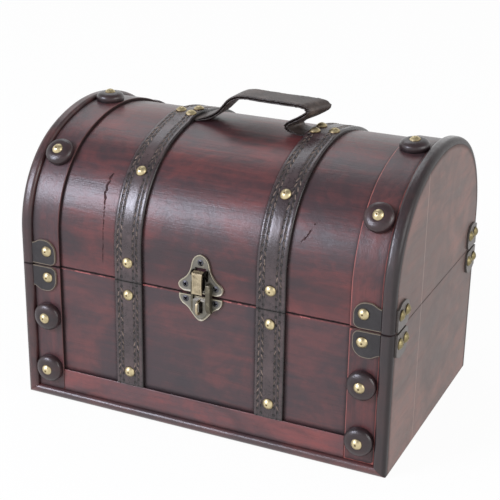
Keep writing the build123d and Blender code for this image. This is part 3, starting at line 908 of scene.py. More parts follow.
STRAP_LEATHER = Leather("strap_leather", srgb(54, 43, 45), srgb(82, 66, 66), srgb(18, 15, 15), gloss=0.27,
                        pebble_depth=0.1, shine=0.7, stitch_pitch=7.6 * MM, rim_line=(0.0014, 0.0004),
                        rim_share=0.75)
PATCH_LEATHER = Leather("patch_leather", srgb(38, 35, 37), srgb(52, 49, 50), srgb(150, 136, 116), gloss=0.46,
                        rim_line=(0.0010, 0.0004), rim_share=0.55)
END_PATCH_LEATHER = Leather("end_patch_leather", srgb(84, 78, 75), srgb(104, 97, 93), srgb(56, 50, 47),
                            gloss=0.4, rim_line=(0.0011, 0.0004), rim_share=0.5)
HANDLE_LEATHER = Leather("handle_leather", srgb(58, 49, 46), srgb(102, 89, 82), srgb(34, 27, 25), gloss=0.42,
                         rim_line=(0.0022, 0.0006))
NAIL_BRASS = Brass("nail_brass", srgb(222, 206, 164), srgb(92, 74, 48), gloss=0.36, pip=True)
# Darker copy of the nail brass for the nails on the ends: painted shade.
SHADED_NAIL_BRASS = Brass("shaded_nail_brass", srgb(152, 140, 104), srgb(70, 60, 40), cover=0.56, gloss=0.42,
                        pip=True)
LATCH_BRASS = Brass("latch_brass", srgb(214, 206, 184), srgb(130, 127, 119), cover=0.66, gloss=0.42)
HASP_BRASS = Brass("hasp_brass", srgb(190, 176, 148), srgb(120, 109, 90), cover=0.46, gloss=0.42)
# Darker copy of the latch brass for the keeper's prongs: painted shade.
SHADED_PRONG_BRASS = Brass("shaded_prong_brass", srgb(186, 178, 156), srgb(104, 99, 86), cover=0.62, gloss=0.44)
# Brass darkened as painted shade, for the hasp's lugs, the block behind the hasp and the keeper's slot.
SHADED_BRASS = Brass("shaded_brass", srgb(54, 50, 42), srgb(24, 22, 20), cover=0.55, gloss=0.5)
HINGE_BRASS = Brass("hinge_brass", srgb(166, 152, 118), srgb(108, 97, 72), cover=0.56, gloss=0.4)
SCREW_STEEL = Brass("screw_steel", srgb(98, 98, 104), srgb(16, 16, 22), cover=0.4, gloss=0.56, pip=True)
STITCH_THREAD = Thread("stitch_thread", srgb(58, 49, 45), srgb(138, 120, 108))
MOULDING_FINISH_LIT_LEFT_SHADED_RIGHT = {"left": LIT_LEFT_MOULDING_WOOD, "right": SHADED_RIGHT_MOULDING_WOOD}
Finish = StainedWood | Leather | Brass | Thread


# Workshop: from skins to finished pieces

class Workshop:
    """Turns skins into pieces of the chest and gives them their finish."""

    def __init__(self) -> None:
        """Start with no material made."""
        self.made: dict[str, bpy.types.Material] = {}

    def material(self, finish: Finish) -> bpy.types.Material:
        """Material of a finish, made once."""
        if finish.name not in self.made:
            self.made[finish.name] = finish.material()
        return self.made[finish.name]

    def piece(self, name: str, skin: Skin, finish: Finish, body: str, slot: str,
              stands_for: Sequence[str] = (), bevel: float = 0, thick: float = 0,
              facing: Array | None = None, sharp: float = 0.7) -> bpy.types.Object:
        """Make one piece and set it on its body.

        Args:
            name: Name of the piece.
            skin: Its surface.
            finish: What it is made of.
            body: Body that it moves with.
            slot: Material slot; not used.
            stands_for: CAD nodes that it replaces.
            bevel: Width of its rounded edges.
            thick: Thickness that an open sheet gets, behind its face.
            facing: Direction that an open sheet's face looks.
            sharp: Angle above which an edge stays sharp.

        Returns:
            The piece's object.
        """
        mesh = bpy.data.meshes.new(name)
        mesh.from_pydata(skin.points.tolist(), [], [row for face in skin.faces for row in face.tolist()])
        for key, value in skin.with_marks().values.items():
            layer = mesh.attributes.new(key, "FLOAT", "POINT")
            layer.data.foreach_set("value", np.ascontiguousarray(value, dtype=np.float32))
        self.clean(mesh, facing)
        mesh.shade_smooth()
        mesh.set_sharp_from_angle(angle=sharp)
        mesh.materials.append(self.material(finish))
        piece = bpy.data.objects.new(name, mesh)
        bpy.context.scene.collection.objects.link(piece)
        if thick:
            shell = piece.modifiers.new("thickness", "SOLIDIFY")
            shell.thickness = thick
            shell.offset = -1
        if bevel:
            edge = piece.modifiers.new("rounded_edges", "BEVEL")
            edge.width = bevel
            edge.segments = 3
            edge.limit_method = "ANGLE"
            edge.angle_limit = sharp
            piece.modifiers.new("even_normals", "WEIGHTED_NORMAL").keep_sharp = True
        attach(piece, body)
        if stands_for:
            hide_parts(*stands_for)
        LOG.info("%s: %d faces on %s", name, len(mesh.polygons), body)
        return piece

    @staticmethod
    def clean(mesh: bpy.types.Mesh, facing: Array | None) -> None:
        """Merge doubled points and turn the faces outwards, or an open sheet's towards facing.

        Args:
            mesh: Mesh to clean.
            facing: Direction of an open sheet, or nothing for a closed one.
        """
        work = bmesh.new()
        work.from_mesh(mesh)
        bmesh.ops.remove_doubles(work, verts=work.verts, dist=MERGE)
        bmesh.ops.recalc_face_normals(work, faces=work.faces)
        if facing is not None:
            mean = sum((f.normal * f.calc_area() for f in work.faces), Vector())
            if mean.dot(Vector(facing)) < 0:
                bmesh.ops.reverse_faces(work, faces=work.faces)
        work.to_mesh(mesh)
        work.free()

    def dress(self, finish: Finish, *nodes: str) -> None:
        """Give CAD nodes that stay in view a finish.

        Args:
            finish: What they are made of.
            nodes: Names of the nodes.
        """
        for node in nodes:
            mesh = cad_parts[node].data
            mesh.materials.clear()
            mesh.materials.append(self.material(finish))
            LOG.info("%s: node dressed in %s", node, finish.name)


SIDES = {"left": -1, "right": 1}
FACES = {"front": -1, "back": 1}


@dataclass
class SubAssembly:
    """Pieces of the chest that are made together, from its sizes and the arch of its lid."""

    shop: Workshop
    sizes: ChestSizes
    line: ArchLine


# Boards

@dataclass
class Boards(SubAssembly):
    """Panels and ends of the base, the dome and the arched ends of the lid."""

    edge_round: float = 0.5 * MM
    shy_joint: float = 0.8 * MM
    seam_gap: float = 0.02 * MM
    fine_step: float = 2.2 * MM
    crack_columns: tuple[Triple, ...] = ((-107.2, -98, 0.55), (94.1, 112, 0.7))
    end_grid: tuple[int, int] = (150, 130)
    cracks: Splits = (
        (-0.1, ((-101.9, 104.6), (-104.2, 99.8), (-102.9, 96.4), (-105.1, 91.4), (-103.7, 87.6),
                (-105.0, 83.2), (-102.9, 78.4), (-103.4, 73.4))),
        (0.4, ((-102.6, 72.7), (-101.4, 56.6), (-100.9, 35.9), (-101.8, 13.2))),
        (0.5, ((96.0, 68.4), (100.3, 75.9))), (0.4, ((99.4, 71.5), (105.1, 84.4))),
        (0.5, ((104.2, 86.0), (109.9, 92.1))), (0.3, ((-24.5, 193.0), (-18.4, 190.0), (-17.3, 196.8))),
    )
    scratches: Splits = ((0.75, ((21.9, 223.4), (30.0, 220.2), (37.0, 215.8))),
                         (0.75, ((45.2, 210.3), (52.0, 205.0), (61.2, 201.3))))
    hand_mark_and_shade: Triple = (8 * MM, 0.93, 1.3)

    def build(self) -> None:
        """Make all boards that show."""
        self.panels()
        self.base_ends()
        self.dome()
        self.lid_ends()

    def panels(self) -> None:
        """Front and back panel: an upright rectangle carried along the width."""
        s = self.sizes
        for face, way in FACES.items():
            loop = slab_loop((0, s.base_top), (-s.panel_board, 0), s.step)
            start = np.array([-s.inner_half_width, way * s.carcass, 0])
            route = straight_route(start, start * [-1, 1, 1], Z_AXIS, way * Y_AXIS, s.step)
            skin = carried(route, loop)
            x, y, z = skin.points.T
            side, foot = s.moulding_inner, s.foot_height
            if face == "front":
                side, foot = s.band_inner, s.foot_band_top
            # meet: distance to the straps, bands and foot, where grime and painted shade darken the panel.
            meet = np.minimum(s.neighbour_distance(x, side), np.abs(z - foot))
            meet = np.where(np.abs(y) < s.carcass - s.panel_board / 2, FAR, meet)
            free = np.abs(z - s.base_top)
            skin = skin.with_values(meet=meet, edge=free, gap=free)
            self.shop.piece(f"base_{face}_board", skin, PANEL_WOOD, "base", "panel_wood",
                            [f"base_{face}_panel"], bevel=self.edge_round)

    def base_ends(self) -> None:
        """Each end of the base: two flat rectangles side by side, carried upwards."""
        s = self.sizes
        for side, way in SIDES.items():
            skins = []
            for y0, y1 in ((-s.carcass, s.seam - self.seam_gap), (s.seam + self.seam_gap, s.carcass)):
                loop = slab_loop((y0, y1), (-s.end_board, 0), s.step)
                start = np.array([way * s.half_width, 0, 0])
                skins.append(carried(straight_route(start, start + s.base_top * Z_AXIS, Y_AXIS, way * X_AXIS,
                                                    s.step), loop))
            skin = joined(skins)
            y, z = skin.points[:, 1], skin.points[:, 2]
            free = np.abs(z - s.base_top)
            # meet: distance to the front and back edges, where grime and painted shade darken the ends
            # beside the mouldings.
            values = {"edge": free, "gap": free + self.shy_joint, "meet": s.carcass - np.abs(y),
                      "seam": np.abs(y - s.seam)}
            self.shop.piece(f"base_{side}_boards", skin.with_values(**values), END_WOOD, "base", "end_wood",
                            [f"base_{side}_end"], bevel=self.edge_round / 2)

    @staticmethod
    def split_distance(spots: Array, splits: Splits) -> Array:
        """Least distance of flat spots to any split, to which each adds its own fineness."""
        return np.min([distance_to_line(spots, MM * np.array(line)) + fine * MM for fine, line in splits],
                      axis=0)

    def dome(self) -> None:
        """Bent dome: a wide flat rectangle carried over the arch."""
        s = self.sizes
        half, inset = s.inner_half_width, s.moulding_proud
        extra = MM * np.concatenate([np.arange(*span) for span in self.crack_columns])
        loop = slab_loop((-half, half), (-inset - s.dome_board, -inset), self.fine_step, extra)
        route = self.line.route(0, self.line.length, self.fine_step)
        skin = carried(route, loop)
        x, run = skin.points[:, 0], np.repeat(route.run, len(loop.points))
        free = np.minimum(run, self.line.length - run)
        # meet: distance to straps and bands, for grime and painted shade; the hand mark darkens round and
        # below the handle as stain and painted shade.
        middle, rise, squeeze = self.hand_mark_and_shade
        marks = {"meet": s.neighbour_distance(x, s.band_inner),
                 "crack": self.split_distance(points_of(x, run), self.cracks),
                 "touch_and_shade": np.hypot(x - middle, squeeze * (run - self.line.run_at(rise)))}
        inside = np.tile(loop.points[:, 1] < -inset - s.dome_board / 2, len(route.run))
        marks = {name: np.where(inside, FAR, value) for name, value in marks.items()}
        self.shop.piece("lid_bent_dome", skin.with_values(edge=free, gap=free, **marks), DOME_WOOD, "lid",
                        "dome_wood", ["lid_dome"], bevel=self.edge_round)

    def lid_ends(self) -> None:
        """Each end of the lid: rows at heights of the arch, spread between the seam and the outline."""
        s = self.sizes
        rows_up, columns = self.end_grid
        crest, normal = self.line.at(np.linspace(0, self.line.length / 2, rows_up))
        outline = crest - s.moulding_proud * normal
        z = outline[:, 2]
        reach = self.line.half_depth_at(z, s.moulding_proud)
        seam = np.maximum(-reach, s.seam)
        for side, way in SIDES.items():
            for board, low, high in (("front", -reach, seam), ("back", seam, reach)):
                rows = slice(None) if board == "back" else reach > -s.seam
                y = low[rows, None] + np.linspace(0, 1, columns) * (high - low)[rows, None]
                heights = np.broadcast_to(z[rows, None], y.shape)
                folded = points_of(-np.abs(y), heights)
                # meet: distance to the rim moulding, where grime and painted shade darken the board.
                meet = np.linalg.norm(folded[:, :, None] - outline[::3, 1:], axis=-1).min(axis=-1)
                free = heights - s.lid_foot
                crack = self.split_distance(points_of(way * y, heights).reshape(-1, 2), self.scratches)
                skin = skin_of(points_of(way * s.half_width, y, heights), edge=free,
                               gap=free + self.shy_joint, meet=meet, seam=np.abs(y - s.seam),
                               crack=crack.reshape(y.shape))
                self.shop.piece(f"lid_{side}_{board}_board", skin, END_WOOD, "lid", "end_wood",
                                [f"lid_{side}_end"], thick=s.end_board, facing=way * X_AXIS,
                                bevel=self.edge_round / 2)


# Mouldings and bands

@dataclass
class Mouldings(SubAssembly):
    """Rounded mouldings on the ends' edges and along the foot, and the flat bands beside them."""

    outer_round: float = 5.7 * MM
    inner_round: float = 3.3 * MM
    foot_outer: float = 4.8 * MM
    foot_inner: float = 4.2 * MM
    moulding_round: float = 0.4 * MM
    # How far the outer side of a moulding is darkened as painted shade.
    painted_shade_side: float = 4.5 * MM
    band_round: float = 0.8 * MM
    wide_joint: float = 0.6

    def build(self) -> None:
        """Make mouldings and bands."""
        self.lid_rims()
        self.base_corners()
        self.feet()
        self.bands()

    def loop(self, width: float, outer: float, inner: float) -> Loop:
        """Section from the hidden back, up the inner rounding, over the crest and down the outer one.

        Args:
            width: Width of the back.
            outer, inner: Radii at the far and the near edge.

        Returns:
            Loop of (a, b), a from 0 to width and b from 0 to the crest.
        """
        proud = self.sizes.moulding_proud
        turn = np.linspace(0, np.pi / 2, 9)
        near = [inner, proud - inner] + inner * points_of(-np.cos(turn), np.sin(turn))
        far = [width - outer, proud - outer] + outer * points_of(np.sin(turn), np.cos(turn))
        points = np.concatenate([[[0.0, 0.0]], near, far, [[width, 0.0]]])
        return Loop(points, np.full(len(points), FAR))

    def shade_and_grime_distance(self, loop: Loop, width: float) -> Array:
        """Distance of a section's points from the wood below, for grime and painted shade in the crease,
        made less on the outer side to paint shade there.
        """
        a, b = loop.points.T
        return b - self.painted_shade_side * smooth(a, 0.5 * width, 0.8 * width)

    def lid_rims(self) -> None:
        """Rims of the lid: the section carried over the arch, short of the joint at the back."""
        s = self.sizes
        loop = self.loop(s.moulding, self.outer_round, self.inner_round)
        a, b = loop.points.T
        route = self.line.route(0, self.line.length - s.hinge_relief, s.step)
        for side, way in SIDES.items():
            placed = Loop(points_of(way * (s.moulding_inner + a), b - s.moulding_proud), loop.edge)
            skin = carried(route, placed, gap=route.end_distance[:, None],
                           meet=self.shade_and_grime_distance(loop, s.moulding))
            self.shop.piece(f"lid_{side}_rim", skin, MOULDING_FINISH_LIT_LEFT_SHADED_RIGHT[side], "lid", "moulding_wood",
                            [f"lid_rim_{side}"], bevel=self.moulding_round)

    def base_corners(self) -> None:
        """Corner mouldings: the section between the mitre z = foot * (width - a) / width and the joint."""
        s = self.sizes
        loop = self.loop(s.moulding, self.outer_round, self.inner_round)
        a, b = loop.points.T
        low = s.foot_height * (s.moulding - a) / s.moulding
        for face, face_way in FACES.items():
            top = s.base_top - (s.hinge_relief if face == "back" else 0)
            z = low + np.linspace(0, 1, 40)[:, None] * (top - low)
            for side, way in SIDES.items():
                grid = points_of(way * (s.moulding_inner + a), face_way * (s.carcass + b), z)
                skin = tube(grid, edge=np.minimum(top - z, z - low), gap=top - z,
                            meet=self.shade_and_grime_distance(loop, s.moulding))
                self.shop.piece(f"base_{face}_{side}_corner", skin, MOULDING_FINISH_LIT_LEFT_SHADED_RIGHT[side], "base",
                                "moulding_wood", [f"base_corner_moulding_{face}_{side}"],
                                bevel=self.moulding_round)

    def feet(self) -> None:
        """Foot mouldings: the section laid down, between the two mitres."""
        s = self.sizes
        a, b = self.loop(s.foot_height, self.foot_outer, self.foot_inner).points.T
        share = np.linspace(-1, 1, 100)[:, None]
        x = share * (s.moulding_inner + s.moulding * a / s.foot_height)
        for face, way in FACES.items():
            # meet is the height out from the carcass, so grime and painted shade darken the crease against
            # it.
            skin = tube(points_of(x, way * (s.carcass + b), s.foot_height - a),
                        edge=(1 - np.abs(share)) * s.half_width, meet=b)
            self.shop.piece(f"base_{face}_foot", skin, FOOT_WOOD, "base", "moulding_wood",
                            [f"base_foot_moulding_{face}"], bevel=self.moulding_round)

    def bands(self) -> None:
        """Flat bands: a low rectangle carried over the arch, up the front and along the foot."""
        s = self.sizes
        for side, way in SIDES.items():
            span = tuple(sorted((way * s.band_inner, way * s.moulding_inner)))
            loop = slab_loop(span, (-s.moulding_proud, -s.band_inset), s.step)
            skin = carried(self.line.route(0, self.line.length, s.step), loop)
            self.band(f"lid_{side}_band", skin, "lid", f"lid_band_{side}")
            loop = slab_loop(span, (0, s.band_proud), s.step)
            start = np.array([0, -s.carcass, s.foot_height])
            stop = np.array([0, -s.carcass, s.base_top])
            skin = carried(straight_route(start, stop, X_AXIS, -Y_AXIS, s.step), loop)
            self.band(f"base_{side}_band", skin, "base", f"base_band_{side}")
        loop = slab_loop((s.foot_height, s.foot_band_top), (0, s.band_proud), s.step)
        start = np.array([-s.band_inner, -s.carcass, 0])
        skin = carried(straight_route(start, start * [-1, 1, 1], Z_AXIS, -Y_AXIS, s.step), loop)
        self.band("base_foot_band", skin, "base", "base_band_foot")

    def band(self, name: str, skin: Skin, body: str, node: str) -> None:
        """One band, darkened beside the mouldings by grime and painted shade.

        Args:
            name: Name of the piece.
            skin: Its surface.
            body: Body that it moves with.
            node: CAD node that it replaces.
        """
        s = self.sizes
        x, z = np.abs(skin.points[:, 0]), skin.points[:, 2]
        beside = np.where(x > s.band_inner, s.moulding_inner - x, FAR)
        meet = np.minimum(beside, np.abs(z - s.foot_height))
        gap = np.where(z < s.spring_guard, self.wide_joint * np.abs(z - s.joint), FAR)
        finish = {"foot": FOOT_BAND_WOOD, "left": LEFT_BAND_WOOD, "right": BAND_WOOD}[node.split("_")[-1]]
        self.shop.piece(name, skin.with_values(meet=meet, gap=gap), finish, body, "band_wood", [node],
                        bevel=self.band_round)


# Leather straps

@dataclass
class Straps(SubAssembly):
    """Leather straps with two double rows of stitches, over the lid and down the base."""

    rounding: float = 1.5 * MM
    rows: tuple[float, ...] = (-10.4 * MM, -6.8 * MM, 6.0 * MM, 9.6 * MM)
    inner_reach: float = 8.4 * MM
    beside_row: tuple[float, ...] = (-1.4, -0.9, -0.45, 0, 0.45, 0.9, 1.4)
    between_rows: tuple[float, ...] = (-4, -2, -0.5, 1.2, 3)
    trough: float = 0.35 * MM
    trough_width: float = 1.1 * MM
    pitch: float = 7.6 * MM
    stitch: Triple = (3.1 * MM, 0.66 * MM, 0.75 * MM)
    slant: float = 0.3
    hand: Pair = (0.14, 0.35 * MM)
    seed: int = 5
    clear: float = 6 * MM
    hump: float = 2.2 * MM
    hump_half: float = 13 * MM
    hump_fade: float = 10 * MM
    hump_rise: float = 0.98

    def build(self) -> None:
        """Make the straps and their stitches."""
        s = self.sizes
        stitches: dict[str, list[Skin]] = {"lid": [], "base": []}
        for side, way in SIDES.items():
            middle = way * s.strap_centre
            route = self.line.route(0, self.line.length, s.step)
            self.strap(f"lid_{side}_strap", route, middle, -s.moulding_proud, "lid", f"lid_strap_{side}",
                       way)
            stitches["lid"].append(self.sewn(route, middle, -s.moulding_proud, way))
            for face, face_way in FACES.items():
                start = np.array([0, face_way * s.carcass, s.foot_band_top])
                stop = np.array([0, face_way * s.carcass, s.base_top])
                route = straight_route(start, stop, X_AXIS, face_way * Y_AXIS, s.step)
                self.strap(f"base_{face}_{side}_strap", route, middle, 0, "base",
                           f"base_strap_{face}_{side}")
                stitches["base"].append(self.sewn(route, middle, 0))
        for body, skins in stitches.items():
            self.shop.piece(f"{body}_strap_stitches", joined(skins), STITCH_THREAD, body, "strap_leather")

    def height(self, across: Array) -> Array:
        """Height of the strap's face: a flat top with round edges, less a bell-shaped trough at each row.

        Args:
            across: Distance from the strap's middle line.

        Returns:
            Heights above the wood.
        """
        s = self.sizes
        beyond = np.clip(np.abs(across) - s.strap_width / 2 + self.rounding, 0, self.rounding)
        top = s.strap_thick - self.rounding + np.sqrt(self.rounding**2 - beyond**2)
        rows = np.array(self.rows)[:, None]
        dips = np.exp(-((across[None] - rows) / self.trough_width) ** 2).sum(axis=0)
        return top - self.trough * dips

    def rise(self, run: Array, across: Array, way: int) -> Array:
        """Rise over the handle's tail: a plateau along the run that leans towards the handle.

        Args:
            run: Lengths along the arch.
            across: Distance from the strap's middle line.
            way: 1 for the right strap, -1 for the left one, 0 for one without a tail below it.

        Returns:
            Heights to add.
        """
        off = np.abs(run - self.line.run_at(self.hump_rise))
        plateau = 1 - smooth(off, self.hump_half, self.hump_half + self.hump_fade)
        lean = 0.65 - 0.35 * way * across / (self.sizes.strap_width / 2)
        return abs(way) * self.hump * plateau * lean

    def phase(self, across: Array) -> Array:
        """Half a pitch for the inner rows, nothing for the outer ones."""
        return np.where(np.abs(across) < self.inner_reach, self.pitch / 2, 0)

    def strap(self, name: str, route: Route, middle: float, base: float, body: str, node: str,
              way: int = 0) -> None:
        """One strap: its section carried along a route and raised over the handle's tail.

        Args:
            name: Name of the piece.
            route: Path of the strap.
            middle: Place of its middle line along the width.
            base: Height of the wood above the route.
            body: Body that it moves with.
            node: CAD node that it replaces.
            way: Side of the strap, or 0 without a tail below it.
        """
        half, rows = self.sizes.strap_width / 2, np.array(self.rows)
        bend = half - self.rounding * (1 - np.cos(np.linspace(0, np.pi / 2, 5)))
        inner = np.concatenate([(rows[:, None] + MM * np.array(self.beside_row)).reshape(-1),
                                MM * np.array(self.between_rows)])
        across = np.concatenate([-bend, np.sort(inner), bend[::-1]])
        top = base + self.height(across) + self.rise(route.run[:, None], across, way)
        foot = np.full((len(route.run), 1), base)
        lift = np.concatenate([foot, top, foot], axis=1)
        across = np.concatenate([[-half], across, [half]])
        grid = (route.origin[:, None] + (middle + across)[:, None] * X_AXIS
                + lift[..., None] * route.out[:, None])
        skin = tube(grid, edge=np.minimum(half - np.abs(across), route.end_distance[:, None]),
                    aside=np.abs(across[:, None] - rows).min(axis=1),
                    along=route.run[:, None] + self.phase(across))
        self.shop.piece(name, skin, STRAP_LEATHER, body, "strap_leather", [node], sharp=1.0)

    def sewn(self, route: Route, middle: float, base: float, way: int = 0) -> Skin:
        """Stitches along a route: small ellipsoids between the holes, slanted one way and the other.

        Each is shifted along the row and turned a little more or less, as by hand.

        Args:
            route: Path of the strap.
            middle: Place of its middle line along the width.
            base: Height of the wood above the route.
            way: Side of the strap, or 0 without a tail below it.

        Returns:
            All stitches of the strap.
        """
        first = np.ceil((route.run[0] + self.clear) / self.pitch)
        last = np.floor((route.run[-1] - self.clear) / self.pitch)
        row = np.array(self.rows)
        spots = (np.arange(first, last) + 0.5)[:, None] * self.pitch + self.phase(row)
        rng = np.random.default_rng(self.seed)
        spots = spots + rng.normal(0, self.hand[1], spots.shape)
        columns = np.concatenate([route.origin, route.out], axis=1).T
        pick = points_of(*(np.interp(spots, route.run, column) for column in columns))
        origin, out = pick[..., :3], unit(pick[..., 3:])
        length, width, height = self.stitch
        lift = base + self.height(row) + self.rise(spots, row, way) - height * 0.1
        places = (origin + (middle + row)[:, None] * X_AXIS + lift[..., None] * out).reshape(-1, 3)
        normal = out.reshape(-1, 3)
        lean = self.slant * np.array([1, -1, 1, -1]) + rng.normal(0, self.hand[0], spots.shape)
        lean = lean.reshape(-1, 1)
        along = np.cos(lean) * np.cross(normal, X_AXIS) + np.sin(lean) * X_AXIS
        bases = np.stack([along, np.cross(normal, along), normal], axis=1)
        angle = np.linspace(0, np.pi, 7)[1:-1, None]
        turn = np.arange(6) / 6 * 2 * np.pi
        grid = points_of(length * np.cos(angle), width * np.sin(angle) * np.cos(turn),
                         height * np.sin(angle) * np.sin(turn))
        return stamped(skin_of(grid, loop_cols=True, lids=Lids.POINT), places, bases)


# Leather corner patches

@dataclass
class Patches(SubAssembly):
    """Thin leather tabs at the corners of lid and base."""

    height: float = 25 * MM
    side_length: float = 25.5 * MM
    end_length: float = 29 * MM
    gap: float = 1.2 * MM
    big_round: float = 12 * MM
    small_round: float = 6 * MM
    droop: float = 4 * MM
    droop_reach: float = 10 * MM
    thick: float = 2 * MM
    curl: float = 0.7 * MM
    edge_round: float = 0.5 * MM

    def proud(self, body: str, face: str) -> float:
        """Height of the wood below a patch, which is a band on the lid and on the front."""
        return self.sizes.band_proud if body == "lid" or face == "front" else 0

    def build(self) -> None:
        """Make eight patches of two tabs each."""
        s = self.sizes
        for body, up in (("lid", 1), ("base", -1)):
            edge = s.joint + up * self.gap
            for face, face_way in FACES.items():
                for side, way in SIDES.items():
                    front = s.face(face_way, way * s.moulding_inner, edge,
                                   self.proud(body, face) + self.thick)
                    end = s.end(way, face_way * s.carcass, edge, self.thick)
                    inward = face_way * way
                    tabs = (("side", front, self.side_length, inward, PATCH_LEATHER),
                            ("end", end, self.end_length, -inward, END_PATCH_LEATHER))
                    for tab, place, length, turn, finish in tabs:
                        skin = self.tab(place, length, turn, up)
                        self.shop.piece(f"{body}_{face}_{side}_{tab}_patch", skin, finish, body,
                                        "patch_leather", [f"{body}_corner_patch_{face}_{side}"],
                                        thick=self.thick, facing=place.out, bevel=self.edge_round)

    def tab(self, place: Place, length: float, way: int, up: int) -> Skin:
        """One tab: its height falls along a quarter circle at the far end and a little at the moulding.

        The free corner curls by curl * u^3 * v^2 with u and v as shares of the length and the height.

        Args:
            place: Corner of the tab at the moulding and the joint.
            length: Length from the moulding.
            way: Direction across.
            up: Direction away from the joint.

        Returns:
            Open sheet with an edge value.
        """
        u = length * np.sin(np.linspace(0, np.pi / 2, 34))
        beyond = np.clip(u - length + self.big_round, 0, self.big_round)
        high = self.height - self.big_round + np.sqrt(self.big_round**2 - beyond**2)
        high -= self.droop * (1 - smooth(u, 0, self.droop_reach))
        near = np.clip(u - length + self.small_round, 0, self.small_round)
        low = self.small_round - np.sqrt(self.small_round**2 - near**2)
        v = low[:, None] + np.linspace(0, 1, 26) * (high - low)[:, None]
        wide = u[:, None]
        lift = self.curl * (wide / length) ** 3 * (v / self.height) ** 2
        rim = np.concatenate([points_of(u, high), points_of(length, v[-1]), points_of(u, low)])
        edge = np.linalg.norm(points_of(wide, v)[:, :, None] - rim, axis=-1).min(axis=-1)
        return skin_of(place.world(points_of(way * wide, up * v, lift)), edge=edge)


# Studs, nails and screws

